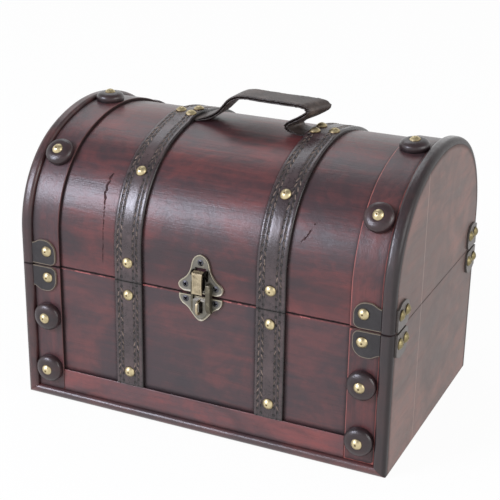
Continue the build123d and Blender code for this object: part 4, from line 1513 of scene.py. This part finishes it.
@dataclass
class Fixings(SubAssembly):
    """Turned studs, domed nails and cross-head screws."""

    straps: Straps
    patches: Patches
    stud_radius: float = 14 * MM
    stud_rim: float = 3 * MM
    stud_dome: float = 6 * MM
    stud_root: float = 1.6 * MM
    stud_seat: float = 8.19 * MM
    nail_radius: float = 5.5 * MM
    nail_dome: float = 3.2 * MM
    screw_radius: float = 3.3 * MM
    screw_dome: float = 1.3 * MM
    screw_sink: float = 0.4 * MM
    stud_rises: tuple[Triple, ...] = ((0.534, 1.0, 1.5), (0.45, 0.94, 1.5))
    stud_heights: Pair = (0.226, 0.624)
    strap_nail_rises: Pair = (0.502, 1.498)
    strap_nail_drops: Pair = (0.096, 0.667)
    lid_nail_lift: float = 19 * MM
    side_nail: float = 0.64
    end_nails: Pair = (0.24, 0.76)
    handle_nails: tuple[Triple, ...] = ((-1, 0.3, -0.22), (1, -0.26, 0.3))
    handle_nail_rises: Triple = (0.9483, 1.0117, 0.98)
    patch_lifts: dict[str, float] = field(default_factory=lambda: {"lid": 15.2 * MM, "base": -11.8 * MM})
    seed: int = 7

    def build(self) -> None:
        """Make studs and nails, in the order of their random turns."""
        self.rng = np.random.default_rng(self.seed)
        for body, places in self.stud_places().items():
            self.set_in(f"{body}_turned_studs", self.stud(), places, STUD_WOOD, body, "stud_wood",
                        f"{body}_studs", tilt=0)
            seats = [place.moved(0, 0, self.stud_seat) for place in places]
            self.nails(f"{body}_stud_nail_heads", seats, NAIL_BRASS, body, f"{body}_stud_nails")
        for body, places in self.nail_places().items():
            self.nails(f"{body}_nail_heads", places, NAIL_BRASS, body, f"{body}_nails")
        for body, places in self.end_nail_places().items():
            self.nails(f"{body}_end_nail_heads", places, SHADED_NAIL_BRASS, body, f"{body}_nails")
        self.nails("handle_nail_heads", self.handle_places(), NAIL_BRASS, "lid", "handle_nails")

    def nails(self, name: str, places: Sequence[Place], finish: Finish, body: str, node: str) -> None:
        """Nail heads on their places, each a little tilted."""
        self.set_in(name, self.nail(), places, finish, body, "brass_nails", node)

    def screws(self, plate: str, body: str, places: Sequence[Place]) -> None:
        """Screw heads in a body's half of the latch or the hinges."""
        self.set_in(f"{plate}_{body}_screw_heads", self.screw(), places, SCREW_STEEL, body, "screws",
                    f"{plate}_{body}_screws", tilt=0)

    def set_in(self, name: str, shape: Skin, places: Sequence[Place], finish: Finish, body: str, slot: str,
               node: str, tilt: float = 0.06) -> None:
        """Set one shape on many places, each turned at random and tilted a little.

        Args:
            name: Name of the piece.
            shape: Shape in its own axes.
            places: Where the copies go.
            finish: What they are made of.
            body: Body that they move with.
            slot: Material slot.
            node: CAD node that they replace.
            tilt: Spread of the tilt in radians.
        """
        bases = np.stack([place.basis for place in places])
        turn = self.rng.uniform(0, 2 * np.pi, len(places))[:, None]
        lean = self.rng.normal(0, tilt, (len(places), 2)) if tilt else np.zeros((len(places), 2))
        out = unit(bases[:, 2] + lean[:, :1] * bases[:, 0] + lean[:, 1:] * bases[:, 1])
        across = np.cos(turn) * bases[:, 0] + np.sin(turn) * bases[:, 1]
        across = unit(across - (across * out).sum(axis=1, keepdims=True) * out)
        turned = np.stack([across, np.cross(out, across), out], axis=1)
        origins = np.stack([place.origin for place in places])
        self.shop.piece(name, stamped(shape, origins, turned), finish, body, slot, [node])

    def stud(self) -> Skin:
        """Turned stud: a straight foot, a round shoulder and a low dome with a flat seat.

        Returns:
            Closed skin, with edge and meet values.
        """
        radius, rim = self.stud_radius, self.stud_rim
        turn = np.linspace(0, 1, 12) * np.pi / 2
        dome = points_of(radius * np.cos(turn) ** 0.62, rim + self.stud_dome * np.sin(turn) ** 0.9)
        dome = dome[dome[:, 0] > self.nail_radius * 0.8]
        foot = [[radius * 0.93, -self.stud_root], [radius * 0.96, 0], [radius, 0.5 * rim]]
        seat = [[self.nail_radius * 0.7, self.stud_seat + 0.1 * MM], [0.5 * MM, self.stud_seat]]
        skin = revolved(np.concatenate([foot, dome, seat]), 40)
        # meet grows with height, so grime and painted shade darken the stud's foot.
        return skin.with_values(edge=np.full(len(skin.points), FAR),
                                meet=np.maximum(skin.points[:, 2], 0) * 1.2)

    def nail(self) -> Skin:
        """Nail head: a round foot, a dome h = H * (1 - r^2.2) and a small dimple in its middle.

        Returns:
            Closed skin.
        """
        radius = np.linspace(1, 0.04, 13)
        height = self.nail_dome * (1 - radius**2.2) - 0.45 * MM * np.exp(-(radius / 0.14) ** 2)
        top = points_of(self.nail_radius * radius, height + 0.25 * MM)
        foot = [[self.nail_radius * 0.92, -0.4 * MM], [self.nail_radius, 0]]
        return revolved(np.concatenate([foot, top]), 28)

    def screw(self) -> Skin:
        """Screw head: a square grid pulled into a disc, domed, with a cross pressed in.

        The disc is x = u sqrt(1 - v^2 / 2), y = v sqrt(1 - u^2 / 2); the dome is H * (1 - r^2).

        Returns:
            Closed skin whose ring value is 0 in the cross and 1 at the rim.
        """
        half = np.array([0.19, 0.23, 0.45, 0.65, 0.68, 0.78, 0.9, 1])
        line = np.concatenate([-half[::-1], [0], half])
        u, v = np.meshgrid(line, line, indexing="ij")
        x, y = u * np.sqrt(1 - v**2 / 2), v * np.sqrt(1 - u**2 / 2)
        round_share = np.minimum(x**2 + y**2, 1)
        arm = ((np.abs(u) < 0.2) & (np.abs(v) < 0.66)) | ((np.abs(v) < 0.2) & (np.abs(u) < 0.66))
        top = self.screw_dome * (1 - round_share) + 0.3 * MM - 0.9 * MM * arm
        foot = 0.3 * MM - 0.8 * MM * (1 - round_share)
        ring = np.where(arm, 0, 0.5 + 0.5 * round_share**3)
        return joined([skin_of(points_of(self.screw_radius * x, self.screw_radius * y, z), ring=ring)
                       for z in (top, foot)])

    def stud_places(self) -> dict[str, list[Place]]:
        """Where the studs sit on the bands.

        Returns:
            Places on the lid and on the base.
        """
        s = self.sizes
        places: dict[str, list[Place]] = {"lid": [], "base": []}
        for way, rises in zip(SIDES.values(), self.stud_rises):
            middle = way * (s.band_inner + s.band_width / 2)
            places["lid"] += [self.line.place(middle, s.band_inset, self.line.run_at(rise))
                              for rise in rises]
            places["base"] += [s.front(middle, s.joint * share, s.band_proud) for share in self.stud_heights]
        return places

    def nail_places(self) -> dict[str, list[Place]]:
        """Where the nails of the straps and of the patches on front and back sit.

        Returns:
            Places on the lid and on the base.
        """
        s = self.sizes
        places: dict[str, list[Place]] = {"lid": [], "base": []}
        for way in SIDES.values():
            middle = way * s.strap_centre
            places["lid"] += [self.line.place(middle, s.strap_inset, self.line.run_at(rise))
                              for rise in self.strap_nail_rises]
            for face, face_way in FACES.items():
                places["lid"].append(s.face(face_way, middle, s.joint + self.lid_nail_lift, s.strap_thick))
                places["base"] += [s.face(face_way, middle, s.joint * (1 - drop), s.strap_thick)
                                   for drop in self.strap_nail_drops]
                x = way * (s.moulding_inner - self.side_nail * self.patches.side_length)
                for body, lift in self.patch_lifts.items():
                    proud = self.patches.proud(body, face) + self.patches.thick
                    places[body].append(s.face(face_way, x, s.joint + lift, proud))
        return places

    def end_nail_places(self) -> dict[str, list[Place]]:
        """Where the nails of the patches on the ends sit, two on each."""
        s, tab = self.sizes, self.patches
        return {body: [s.end(way, face_way * (s.carcass - tab.end_length * share), s.joint + lift, tab.thick)
                       for way in SIDES.values() for face_way in FACES.values() for share in self.end_nails]
                for body, lift in self.patch_lifts.items()}

    def handle_places(self) -> list[Place]:
        """Where the nails sit that go through the straps and the handle's tails.

        Returns:
            Six places.
        """
        s = self.sizes
        places = []
        for way, inner, outer in self.handle_nails:
            for share, rise in zip((inner, inner, outer), self.handle_nail_rises):
                run = self.line.run_at(rise)
                across = s.strap_width * share
                lift = float(self.straps.rise(np.array(run), np.array(across), way))
                places.append(self.line.place(way * s.strap_centre + across, s.strap_inset - lift, run))
        return places


# Carrying handle

@dataclass
class Handle(SubAssembly):
    """Leather handle in two layers, folded back on itself at the right, with thin tails under the straps."""

    width: float = 28 * MM
    layer: float = 2.1 * MM
    layer_gap: float = 0.3 * MM
    thin_share: float = 0.42
    thin_lifts: Pair = (1 * MM, 4.5 * MM)
    crown_rise: float = 0.98
    ragged: float = 0.5 * MM
    seed: int = 11

    def knots(self) -> Array:
        """Middle line of the strap: place along the width, lift above the dome, and skew of its edges.

        Returns:
            Knots in metres, n by 3.
        """
        return MM * np.array([
            [-86, 0.95, 0], [-75, 0.95, 0], [-62, 0.95, 0], [-56, 1.6, 0], [-50, 2.9, 0], [-45, 4.4, 0],
            [-40.7, 6.3, 0], [-33.2, 11.2, 0], [-26.7, 17.9, 0.4], [-20.2, 24.5, 0.8], [-12.2, 28.4, 0.8],
            [-2.7, 29.5, 0.5], [12.3, 29, 0.5], [32.3, 28.7, 2], [49.3, 28.5, 4.5], [58.8, 28, 5.5],
            [64.1, 25.9, 5.7], [64.9, 23.1, 5.7], [61.8, 20.3, 5.5], [54.3, 15.5, 5], [45.9, 11.1, 4.4],
            [41.9, 8, 3.9], [41.4, 5.2, 3], [44, 2.9, 1.5], [50, 1.5, 0.3], [58, 0.95, 0], [75, 0.95, 0],
            [86, 0.95, 0]])

    def build(self) -> None:
        """Make both layers as one piece."""
        apart = self.layer / 2 + self.layer_gap / 2
        skins = [self.sheet(offset, grow) for offset, grow in ((apart, 0.0), (-apart, -0.5 * MM))]
        self.shop.piece("carry_handle_strap", joined(skins), HANDLE_LEATHER, "lid", "handle_leather",
                        ["carry_handle"], sharp=1.0)

    def sheet(self, offset: float, grow: float) -> Skin:
        """One layer: a flat oval section carried along the skewed middle line, thinner on the dome.

        The tails sag by y^2 / (2 R) so that they follow the dome.

        Args:
            offset: Shift of the layer from the middle line, along its normal.
            grow: Change of the half width.

        Returns:
            Closed skin with an edge value.
        """
        crown = self.line.place(0, self.sizes.moulding_proud, self.line.run_at(self.crown_rise))
        x, lift, skew = curve_through(self.knots(), 7).T[..., None]
        along, climb = unit(np.gradient(np.concatenate([x, lift], axis=1), axis=0)).T[..., None]
        half, flat = self.width / 2 + grow, self.layer / 2
        angle = np.arange(36) / 36 * 2 * np.pi
        side = np.sign(np.cos(angle)) * np.abs(np.cos(angle)) ** 0.35
        rise = np.sign(np.sin(angle)) * np.abs(np.sin(angle)) ** 0.55
        rng = np.random.default_rng(self.seed + int(offset > 0))
        rough = rng.normal(0, self.ragged, (len(x), 2))
        across = side * half + np.where(side > 0, rough[:, :1], rough[:, 1:]) * np.abs(side) ** 6
        lifted = smooth(lift, *self.thin_lifts)
        thick = (offset + rise * flat) * (self.thin_share + (1 - self.thin_share) * lifted)
        sag = across**2 / (2 * self.line.crown) * (1 - lifted)
        local = points_of(x + across / self.width * 2 * skew - climb * thick, across,
                          lift - sag + along * thick)
        return tube(crown.world(local), edge=half - np.abs(across))


# Latch

@dataclass
class Latch(SubAssembly):
    """Bell plate with hasp arm on the lid, keeper with prongs and padlock loop on the base."""

    fixings: Fixings
    offset: float = 2.8 * MM
    plate: float = 2 * MM
    rim: float = 0.5 * MM
    rim_slope: Pair = (0.6 * MM, 1.7 * MM)
    plain_core: float = 2 * MM
    core_share: float = 0.62
    window: Pair = (22 * MM, 27.5 * MM)
    ear_spread: float = 15.5 * MM
    ear_lift: float = 9.2 * MM
    top_lift: float = 32.6 * MM
    pin: Pair = (23 * MM, 5 * MM)
    knuckle: float = 2.6 * MM
    lug: Pair = (5.6 * MM, 7.8 * MM)
    lug_foot: float = 15 * MM
    hasp_half: float = 5.1 * MM
    hasp_thick: float = 2.4 * MM
    # Dark block behind the hasp, as painted shade: lowest and highest height, nearest and farthest out.
    core: tuple[float, float, float, float] = (6.5 * MM, 22.5 * MM, 3 * MM, 8.2 * MM)
    right_prong: Triple = (7.6 * MM, 12.2 * MM, 8.2 * MM)
    left_prong: Triple = (-9 * MM, -6.6 * MM, 4.6 * MM)
    bend: Pair = (23.8 * MM, 8.8 * MM)
    hasp_root: float = 4.2 * MM
    hasp_foot: float = 4.2 * MM
    waist: float = 0.09
    keeper_spread: float = 15.2 * MM
    keeper_drop: float = 5.2 * MM
    boss_out: float = 4.5 * MM
    loop_drop: float = 10.3 * MM
    loop_half: float = 6.2 * MM
    loop_reach: float = 6.1 * MM
    # Dark plate behind the loop, as painted shade: left, right, lowest and highest.
    slot: tuple[float, float, float, float] = (-0.4 * MM, 3.4 * MM, -16.2 * MM, -4.8 * MM)
    wire: float = 1.2 * MM
    wire_width: float = 1.35 * MM
    edge_round: float = 0.4 * MM

    def build(self) -> None:
        """Make all pieces of the latch."""
        self.front = self.sizes.front(self.offset, self.sizes.joint)
        self.lid_plate()
        self.hasp()
        self.keeper()
        self.loop()
        ear, low_ear = self.ear_spread, self.keeper_spread
        self.screws("lid", (0, self.top_lift), (-ear, self.ear_lift), (ear, self.ear_lift))
        self.screws("base", (-low_ear, -self.keeper_drop), (low_ear, -self.keeper_drop))

    def screws(self, body: str, *spots: Pair) -> None:
        """Screw heads in the ears of a plate, at places across and up from the joint."""
        out = self.plate - self.fixings.screw_sink
        self.fixings.screws("latch", body, [self.front.moved(x, y, out) for x, y in spots])

    def block(self, span: Pair, low: float, high: float, near: float, far: float) -> Skin:
        """Straight block along a span, between two heights and two distances out."""
        return bar(self.front, np.array([[low, near], [high, near], [high, far], [low, far]]), span, FAR)

    def sheet(self, knots: Sequence[Pair], out: float, rim: float, window: Triple | None = None) -> Skin:
        """Flat plate whose half width at each height is read off a smooth curve, raised along its rim.

        Args:
            knots: Heights and half widths in millimetres, from the lowest upwards.
            out: Distance of the face from the carcass.
            rim: How far the rim stands up.
            window: Half width, lowest and highest height of an opening.

        Returns:
            Open sheet with an edge value.
        """
        curve, width = curve_through(MM * np.array(knots), 5).T
        height = np.unique(np.concatenate([curve, window[1:] if window else ()]))
        half = np.interp(height, curve, width)
        side, middle = np.linspace(1, 0, 9), np.linspace(-1, 1, 7)[1:-1]
        core = np.minimum(window[0] if window else self.plain_core, half * self.core_share)[:, None]
        wing = core + side * (half[:, None] - core)
        x = np.concatenate([-wing, core * middle, wing[:, ::-1]], axis=1)
        flat = points_of(x, height[:, None])
        outline = np.concatenate([points_of(half, height), points_of(-half, height), flat[0], flat[-1]])
        gap = np.linalg.norm(flat[:, :, None] - outline, axis=-1).min(axis=-1)
        z = out + rim * (1 - smooth(gap, *self.rim_slope))
        keep = np.ones((len(height) - 1, x.shape[1] - 1), dtype=bool)
        if window:
            centre = (height[1:] + height[:-1]) / 2
            rows = (centre > window[1]) & (centre < window[2])
            keep[np.ix_(rows, len(side) - 1 + np.arange(len(middle) + 1))] = False
        return skin_of(self.front.world(points_of(x, height[:, None], z)), keep=keep, edge=gap)

    def lid_plate(self) -> None:
        """Bell plate with an opening behind the hasp, and a round-ended lug on each side of it, in brass
        darkened as painted shade.
        """
        bell = ((2.5, 16.5), (3.2, 18.6), (5, 21.4), (7.8, 22.6), (10.4, 22), (13.2, 19.4), (15.4, 16.6),
                (17.8, 14.2), (21, 12), (24.5, 10.4), (28, 9.4), (31.5, 8.7), (34.5, 7.6), (37, 6),
                (38.8, 4), (39.8, 1.8), (40.1, 0.3))
        skin = self.sheet(bell, self.plate, self.rim, (self.lug[0], *self.window))
        self.shop.piece("latch_bell_plate", skin, LATCH_BRASS, "lid", "latch_brass", ["latch_lid_plate"],
                        thick=self.plate, facing=self.front.out, bevel=self.edge_round)
        turn = np.linspace(-np.pi / 2, np.pi / 2, 12)
        (lift, out), radius = self.pin, self.knuckle
        nose = points_of(lift + radius * np.sin(turn), out + radius * np.cos(turn))
        foot = [[lift + radius, self.plate / 2], [self.lug_foot, self.plate / 2],
                [self.lug_foot, out - radius]]
        section = np.concatenate([nose, foot])
        lugs = [bar(self.front, section, (way * self.lug[0], way * self.lug[1]), FAR) for way in (-1, 1)]
        self.shop.piece("latch_hasp_lugs", joined(lugs), SHADED_BRASS, "lid", "latch_brass", bevel=0.35 * MM)

    def hasp(self) -> None:
        """Hasp arm: a flat section that goes straight out from the pin, turns down at a crease and hangs.

        Half the thickness is added along the normal, and 0.7 of it along both normals at the crease; the
        half width shrinks by a half sine wave down the hanging leg.
        """
        (lift, out), foot = self.bend, self.hasp_foot
        leg = np.concatenate([[0.03, 0.06], np.linspace(0.1, 1, 22)])
        top = self.hasp_root + np.array([0, 0.3, 0.6, 0.86, 1]) * (out - self.hasp_root)
        path = np.concatenate([points_of(lift, top), points_of(lift + leg * (foot - lift), out)])
        normal = np.repeat([[1, 0], [0.7, 0.7], [0, 1]], [len(top) - 1, 1, len(leg)], axis=0)
        share = np.concatenate([0 * top, leg])
        half = self.hasp_half * (1 - self.waist * np.sin(share * np.pi))
        a, b = slab_loop((-1, 1), (-1, 1), 0.25).points.T
        thick = b * self.hasp_thick / 2
        local = points_of(half[:, None] * a, path[:, :1] + normal[:, :1] * thick,
                          path[:, 1:] + normal[:, 1:] * thick)
        ends = np.minimum(path[:, 0] - foot, np.where(share > 0, lift - path[:, 0], 3 * MM))
        edge = np.minimum(half[:, None] * (1 - np.abs(a)), ends[:, None])
        turn = np.arange(24) / 24 * 2 * np.pi
        ring = np.array(self.pin) + self.knuckle * points_of(np.sin(turn), np.cos(turn))
        eye = bar(self.front, ring, (-self.hasp_half, self.hasp_half), FAR)
        arm = joined([tube(self.front.world(local), edge=edge), eye])
        self.shop.piece("latch_hasp_arm", arm, HASP_BRASS, "hasp", "latch_brass", ["hasp_arm"],
                        bevel=0.45 * MM)
        # A dark block fills the space behind the hanging hasp, as painted shade.
        wide = self.hasp_half - 0.3 * MM
        self.shop.piece("latch_hasp_shade_core", self.block((-wide, wide), *self.core), SHADED_BRASS, "hasp",
                        "latch_brass", bevel=self.edge_round)

    def keeper(self) -> None:
        """Keeper: an eared shield, a raised boss on it and a prong on each side of the hasp."""
        shield = ((-25.2, 0.3), (-24.6, 2.4), (-22.6, 5), (-20, 7.4), (-16.5, 10.2), (-14, 12.4), (-12, 15),
                  (-10, 18.4), (-7, 20.9), (-4, 21.8), (-0.8, 22))
        skin = self.sheet(shield, self.plate, self.rim)
        self.shop.piece("latch_keeper_plate", skin, LATCH_BRASS, "base", "latch_brass", ["latch_keeper"],
                        thick=self.plate, facing=self.front.out, bevel=self.edge_round)
        boss = ((-24.2, 0.3), (-23.6, 2.2), (-21.8, 4.6), (-19.2, 6.8), (-16, 8.6), (-12, 9.2), (-6, 9.2),
                (-2, 9.2))
        skin = self.sheet(boss, self.boss_out, 0.2 * MM + self.plate - self.boss_out)
        skin = skin.with_values(edge=skin.values["edge"] + 0.4 * MM)
        self.shop.piece("latch_keeper_boss", skin, LATCH_BRASS, "base", "latch_brass", thick=1 * MM,
                        facing=self.front.out, sharp=1.2)
        self.prongs()

    def prongs(self) -> None:
        """Prongs: a flat outline of (height, out), cut off at their reach, all along their width."""
        lift, out = MM * np.array([[-16.2, 2.7], [-15.4, 4.2], [-12.5, 6.8], [-9, 8.2], [13.2, 8.2],
                                   [14, 7.4], [14, 3.4], [13.3, 2.7]]).T
        skins = [bar(self.front, points_of(lift, np.minimum(out, reach)), (low, high), 2 * MM)
                 for low, high, reach in (self.left_prong, self.right_prong)]
        self.shop.piece("latch_keeper_prongs", joined(skins), SHADED_PRONG_BRASS, "base", "latch_brass",
                        bevel=0.5 * MM, sharp=0.5)

    def loop(self) -> None:
        """Padlock loop: an oval wire carried along half a rounded oblong that stands out from the boss, with
        a dark plate behind it as painted shade in its slot.
        """
        turn = np.linspace(-np.pi / 2, np.pi / 2, 34)
        lift = self.loop_half * np.sign(turn) * np.abs(np.sin(turn)) ** 0.75 - self.loop_drop
        path = points_of(lift, self.boss_out + self.loop_reach * np.cos(turn) ** 0.62)
        path[[0, -1], 1] = self.boss_out - 1 * MM
        climb, out = unit(np.gradient(path, axis=0)).T[..., None]
        angle = np.arange(14) / 14 * 2 * np.pi
        local = points_of(self.wire_width * np.cos(angle), path[:, :1] - out * self.wire * np.sin(angle),
                          path[:, 1:] + climb * self.wire * np.sin(angle))
        skin = tube(self.front.world(local), edge=1.2 * MM - 0.9 * MM * np.sin(angle))
        self.shop.piece("latch_padlock_loop", skin, HASP_BRASS, "base", "latch_brass", ["padlock_loop"],
                        sharp=1.2)
        left, right, low, high = self.slot
        shade_inlay = self.block((left, right), low, high, self.boss_out - 0.5 * MM, self.boss_out + 0.1 * MM)
        self.shop.piece("latch_keeper_slot_shade", shade_inlay, SHADED_BRASS, "base", "latch_brass")


# Hinges

@dataclass
class Hinges(SubAssembly):
    """Two butt hinges on the back, each with three knuckles on a pin."""

    fixings: Fixings
    centre: float = 118.193 * MM
    half_length: float = 20.996 * MM
    middle_half: float = 7.558 * MM
    knuckle_gap: float = 0.3 * MM
    height: float = 25 * MM
    thick: float = 1.6 * MM
    corner: float = 3.5 * MM
    barrel: float = 3.5 * MM
    axis_out: float = 3.8 * MM
    tab_lift: float = 4.4 * MM
    screw_lift: float = 15 * MM
    screw_spread: float = 13.02 * MM
    pin_head: Pair = (2.5 * MM, 1.2 * MM)
    edge_round: float = 0.35 * MM

    def build(self) -> None:
        """Make leaves, knuckles, screws and the heads of the pins."""
        heads = []
        screws: dict[str, list[Place]] = {"base": [], "lid": []}
        outer = (self.middle_half + self.knuckle_gap, self.half_length)
        spans = {"base": (outer, (-outer[0], -outer[1])), "lid": ((-self.middle_half, self.middle_half),)}
        sunk = self.thick - self.fixings.screw_sink
        for side, way in SIDES.items():
            place = self.sizes.back(way * self.centre, self.sizes.joint)
            for body, up in (("base", -1), ("lid", 1)):
                self.shop.piece(f"hinge_{body}_{side}_leaf", self.leaf(place, up), HINGE_BRASS, body,
                                "hinge_brass", [f"hinge_{body}_leaf_{side}"], thick=self.thick,
                                facing=place.out, bevel=self.edge_round)
                rolls = [bar(place, self.knuckle(up), span, 2 * MM) for span in spans[body]]
                self.shop.piece(f"hinge_{body}_{side}_knuckles", joined(rolls), HINGE_BRASS, body,
                                "hinge_brass", bevel=self.edge_round)
                screws[body] += [place.moved(turn * self.screw_spread, up * self.screw_lift, sunk)
                                 for turn in (-1, 1)]
            for turn in (-1, 1):
                end = place.world(np.array([turn * self.half_length, 0, self.axis_out]))
                heads.append(Place(end, Y_AXIS, np.cross(-turn * X_AXIS, Y_AXIS), -turn * X_AXIS))
        for body, places in screws.items():
            self.fixings.screws("hinge", body, places)
        self.fixings.set_in("hinge_pin_heads", self.head(), heads, HINGE_BRASS, "base", "hinge_brass",
                            "hinge_pins", tilt=0)

    def leaf(self, place: Place, up: int) -> Skin:
        """One leaf: a sheet whose far corners fall along quarter circles.

        Args:
            place: Middle of the hinge on the back.
            up: 1 for the lid's leaf, -1 for the base's.

        Returns:
            Open sheet with an edge value.
        """
        across = self.half_length * np.sin(np.linspace(-np.pi / 2, np.pi / 2, 41))[:, None]
        beyond = np.clip(np.abs(across) - self.half_length + self.corner, 0, self.corner)
        far = self.height - self.corner + np.sqrt(self.corner**2 - beyond**2)
        lift = self.tab_lift - 0.1 * MM + np.linspace(0, 1, 20) * (far - self.tab_lift)
        edge = np.minimum(self.half_length - np.abs(across), far - lift)
        return skin_of(place.world(points_of(across, up * lift, self.thick)), edge=edge)

    def knuckle(self, up: int) -> Array:
        """Section of a knuckle: a circle round the pin, opened into a tab that runs to the leaf.

        Args:
            up: 1 for the lid's leaf, -1 for the base's.

        Returns:
            Outline of (height, out).
        """
        leave = np.arccos((self.thick - self.axis_out) / self.barrel)
        turn = np.linspace(leave, np.radians(-170), 30)
        roll = points_of(self.barrel * np.sin(turn), self.axis_out + self.barrel * np.cos(turn))
        tab = [[self.tab_lift, 0.1 * MM], [self.tab_lift, self.thick]]
        return np.concatenate([roll, tab]) * [up, 1]

    def head(self) -> Skin:
        """Head of a pin: a short foot and a dome h = H * cos(t) at r = R * sin(t).

        Returns:
            Closed skin with an edge value.
        """
        (radius, height), foot = self.pin_head, 0.3 * MM
        turn = np.linspace(np.pi / 2, 0.1, 8)
        dome = points_of(radius * np.sin(turn), foot + (height - foot) * np.cos(turn))
        skin = revolved(np.concatenate([[[radius, -foot]], dome]), 20)
        return skin.with_values(edge=np.full(len(skin.points), 2 * MM))


# Studio

@dataclass(frozen=True)
class SoftLight:
    """Rectangular studio light that looks at the chest."""

    name: str
    spot: Triple
    size: Pair
    watts: float
    colour: Triple = (1.0, 1.0, 1.0)

    def put(self, target: Vector) -> None:
        """Make the light and aim it.

        Args:
            target: Point that it looks at.
        """
        data = bpy.data.lights.new(self.name, "AREA")
        data.shape = "RECTANGLE"
        data.size, data.size_y = self.size
        data.energy = self.watts
        data.color = self.colour
        lamp = bpy.data.objects.new(self.name, data)
        lamp.location = self.spot
        lamp.rotation_euler = (target - Vector(self.spot)).to_track_quat("-Z", "Y").to_euler()
        bpy.context.scene.collection.objects.link(lamp)


@dataclass
class Studio:
    """Pale floor, soft lights, white surround and the camera."""

    camera_spot: Triple = (0.48362, -1.06694, 0.60054)
    right: Triple = (0.90653, 0.42188, 0.01485)
    forward: Triple = (-0.38797, 0.84649, -0.36459)
    lens: float = 90.51
    sensor: float = 36.0
    view_depth: float = 50.0
    ambient: float = 0.55
    floor_size: float = 8.0
    floor_level: float = -0.2 * MM
    floor_grey: Colour = (0.9, 0.9, 0.9, 1.0)
    floor_glow: float = 0.95
    sky_heights: Pair = (0.35, 0.75)
    zenith: float = 0.3
    target: Triple = (0.0, 0.0, 0.14)
    lights: tuple[SoftLight, ...] = (
        SoftLight("front_left_softbox", (-1.5, -2.0, 1.4), (1.0, 0.9), 56, (0.84, 0.85, 1.0)),
        SoftLight("right_fill", (2.2, -0.4, 1.1), (1.2, 1.2), 20),
        SoftLight("back_left_softbox", (-1.0, 1.3, 2.2), (1.2, 1.0), 8, (0.92, 0.95, 1.0)),
    )

    def build(self) -> None:
        """Make floor, surround, lights and camera."""
        self.floor()
        self.surround()
        for light in self.lights:
            light.put(Vector(self.target))
        self.camera()
        bpy.context.scene.view_settings.view_transform = "Standard"

    @staticmethod
    def bounced(path: bpy.types.bpy_prop_collection, graph: Graph) -> Socket:
        """1 for a ray that a surface mirrors or lets through."""
        return graph.math("MAXIMUM", path["Is Glossy Ray"], path["Is Transmission Ray"])

    def floor(self) -> None:
        """Large pale square that takes the chest's shadow and glows towards the camera."""
        corner = np.array([-1, 1]) * self.floor_size / 2
        skin = skin_of(points_of(corner[:, None], corner, self.floor_level))
        mesh = bpy.data.meshes.new("floor")
        mesh.from_pydata(skin.points.tolist(), [], skin.faces[0][:, ::-1].tolist())
        ground = bpy.data.objects.new("floor", mesh)
        bpy.context.scene.collection.objects.link(ground)
        material = bpy.data.materials.new("pale_floor")
        material.use_nodes = True
        graph = Graph(material.node_tree)
        path = graph.add("LightPath").outputs
        seen = graph.math("MAXIMUM", path["Is Camera Ray"], self.bounced(path, graph))
        matt = graph.add("BsdfDiffuse", {"Color": self.floor_grey})
        glow = graph.add("Emission", {"Strength": 1.0})
        mix = graph.add("MixShader", {0: graph.math("MULTIPLY", seen, self.floor_glow), 1: matt.outputs[0],
                                      2: glow.outputs[0]})
        graph.add("OutputMaterial", {"Surface": mix.outputs[0]})
        mesh.materials.append(material)

    def surround(self) -> None:
        """Even world light, white where it is seen directly and dimmer towards the zenith in reflections."""
        world = bpy.data.worlds.new("white_surround")
        bpy.context.scene.world = world
        world.use_nodes = True
        graph = Graph(world.node_tree)
        path = graph.add("LightPath").outputs
        axes = graph.add("SeparateXYZ", {0: graph.add("TexCoord").outputs["Generated"]}).outputs
        low, high = self.sky_heights
        sky = graph.add("MapRange", {"Value": axes["Z"], "From Min": low, "From Max": high, "To Min": 1.0,
                                     "To Max": self.zenith})
        lit = graph.add("MapRange", {"Value": self.bounced(path, graph), "To Min": self.ambient,
                                     "To Max": sky.outputs["Result"]})
        strength = graph.math("MAXIMUM", path["Is Camera Ray"], lit.outputs["Result"])
        back = graph.add("Background", {"Color": (1, 1, 1, 1), "Strength": strength})
        graph.add("OutputWorld", {"Surface": back.outputs[0]})

    def camera(self) -> None:
        """Camera of the photograph's view, from its right and forward directions."""
        right, forward = Vector(self.right).normalized(), Vector(self.forward).normalized()
        up = right.cross(forward).normalized()
        right = forward.cross(up).normalized()
        data = bpy.data.cameras.new("camera")
        data.lens = self.lens
        data.sensor_width = self.sensor
        data.clip_end = self.view_depth
        camera = bpy.data.objects.new("camera", data)
        axes = Matrix((right, up, -forward)).transposed()
        camera.matrix_world = Matrix.Translation(self.camera_spot) @ axes.to_4x4()
        bpy.context.scene.collection.objects.link(camera)
        bpy.context.scene.camera = camera


def main() -> None:
    """Build and dress the chest, then the studio round it."""
    logging.basicConfig(level=logging.INFO, format="%(name)s: %(message)s")
    sizes = ChestSizes()
    shop, line = Workshop(), ArchLine(sizes)
    bench = (shop, sizes, line)
    Boards(*bench).build()
    Mouldings(*bench).build()
    straps, patches = Straps(*bench), Patches(*bench)
    straps.build()
    fixings = Fixings(*bench, straps, patches)
    fixings.build()
    patches.build()
    Handle(*bench).build()
    Latch(*bench, fixings).build()
    Hinges(*bench, fixings).build()
    shop.dress(INSIDE_WOOD, "base_bottom", "lid_front_rail", "lid_back_rail")
    shop.dress(HINGE_BRASS, "hasp_pin")
    Studio().build()


if __name__ == "__main__":
    main()
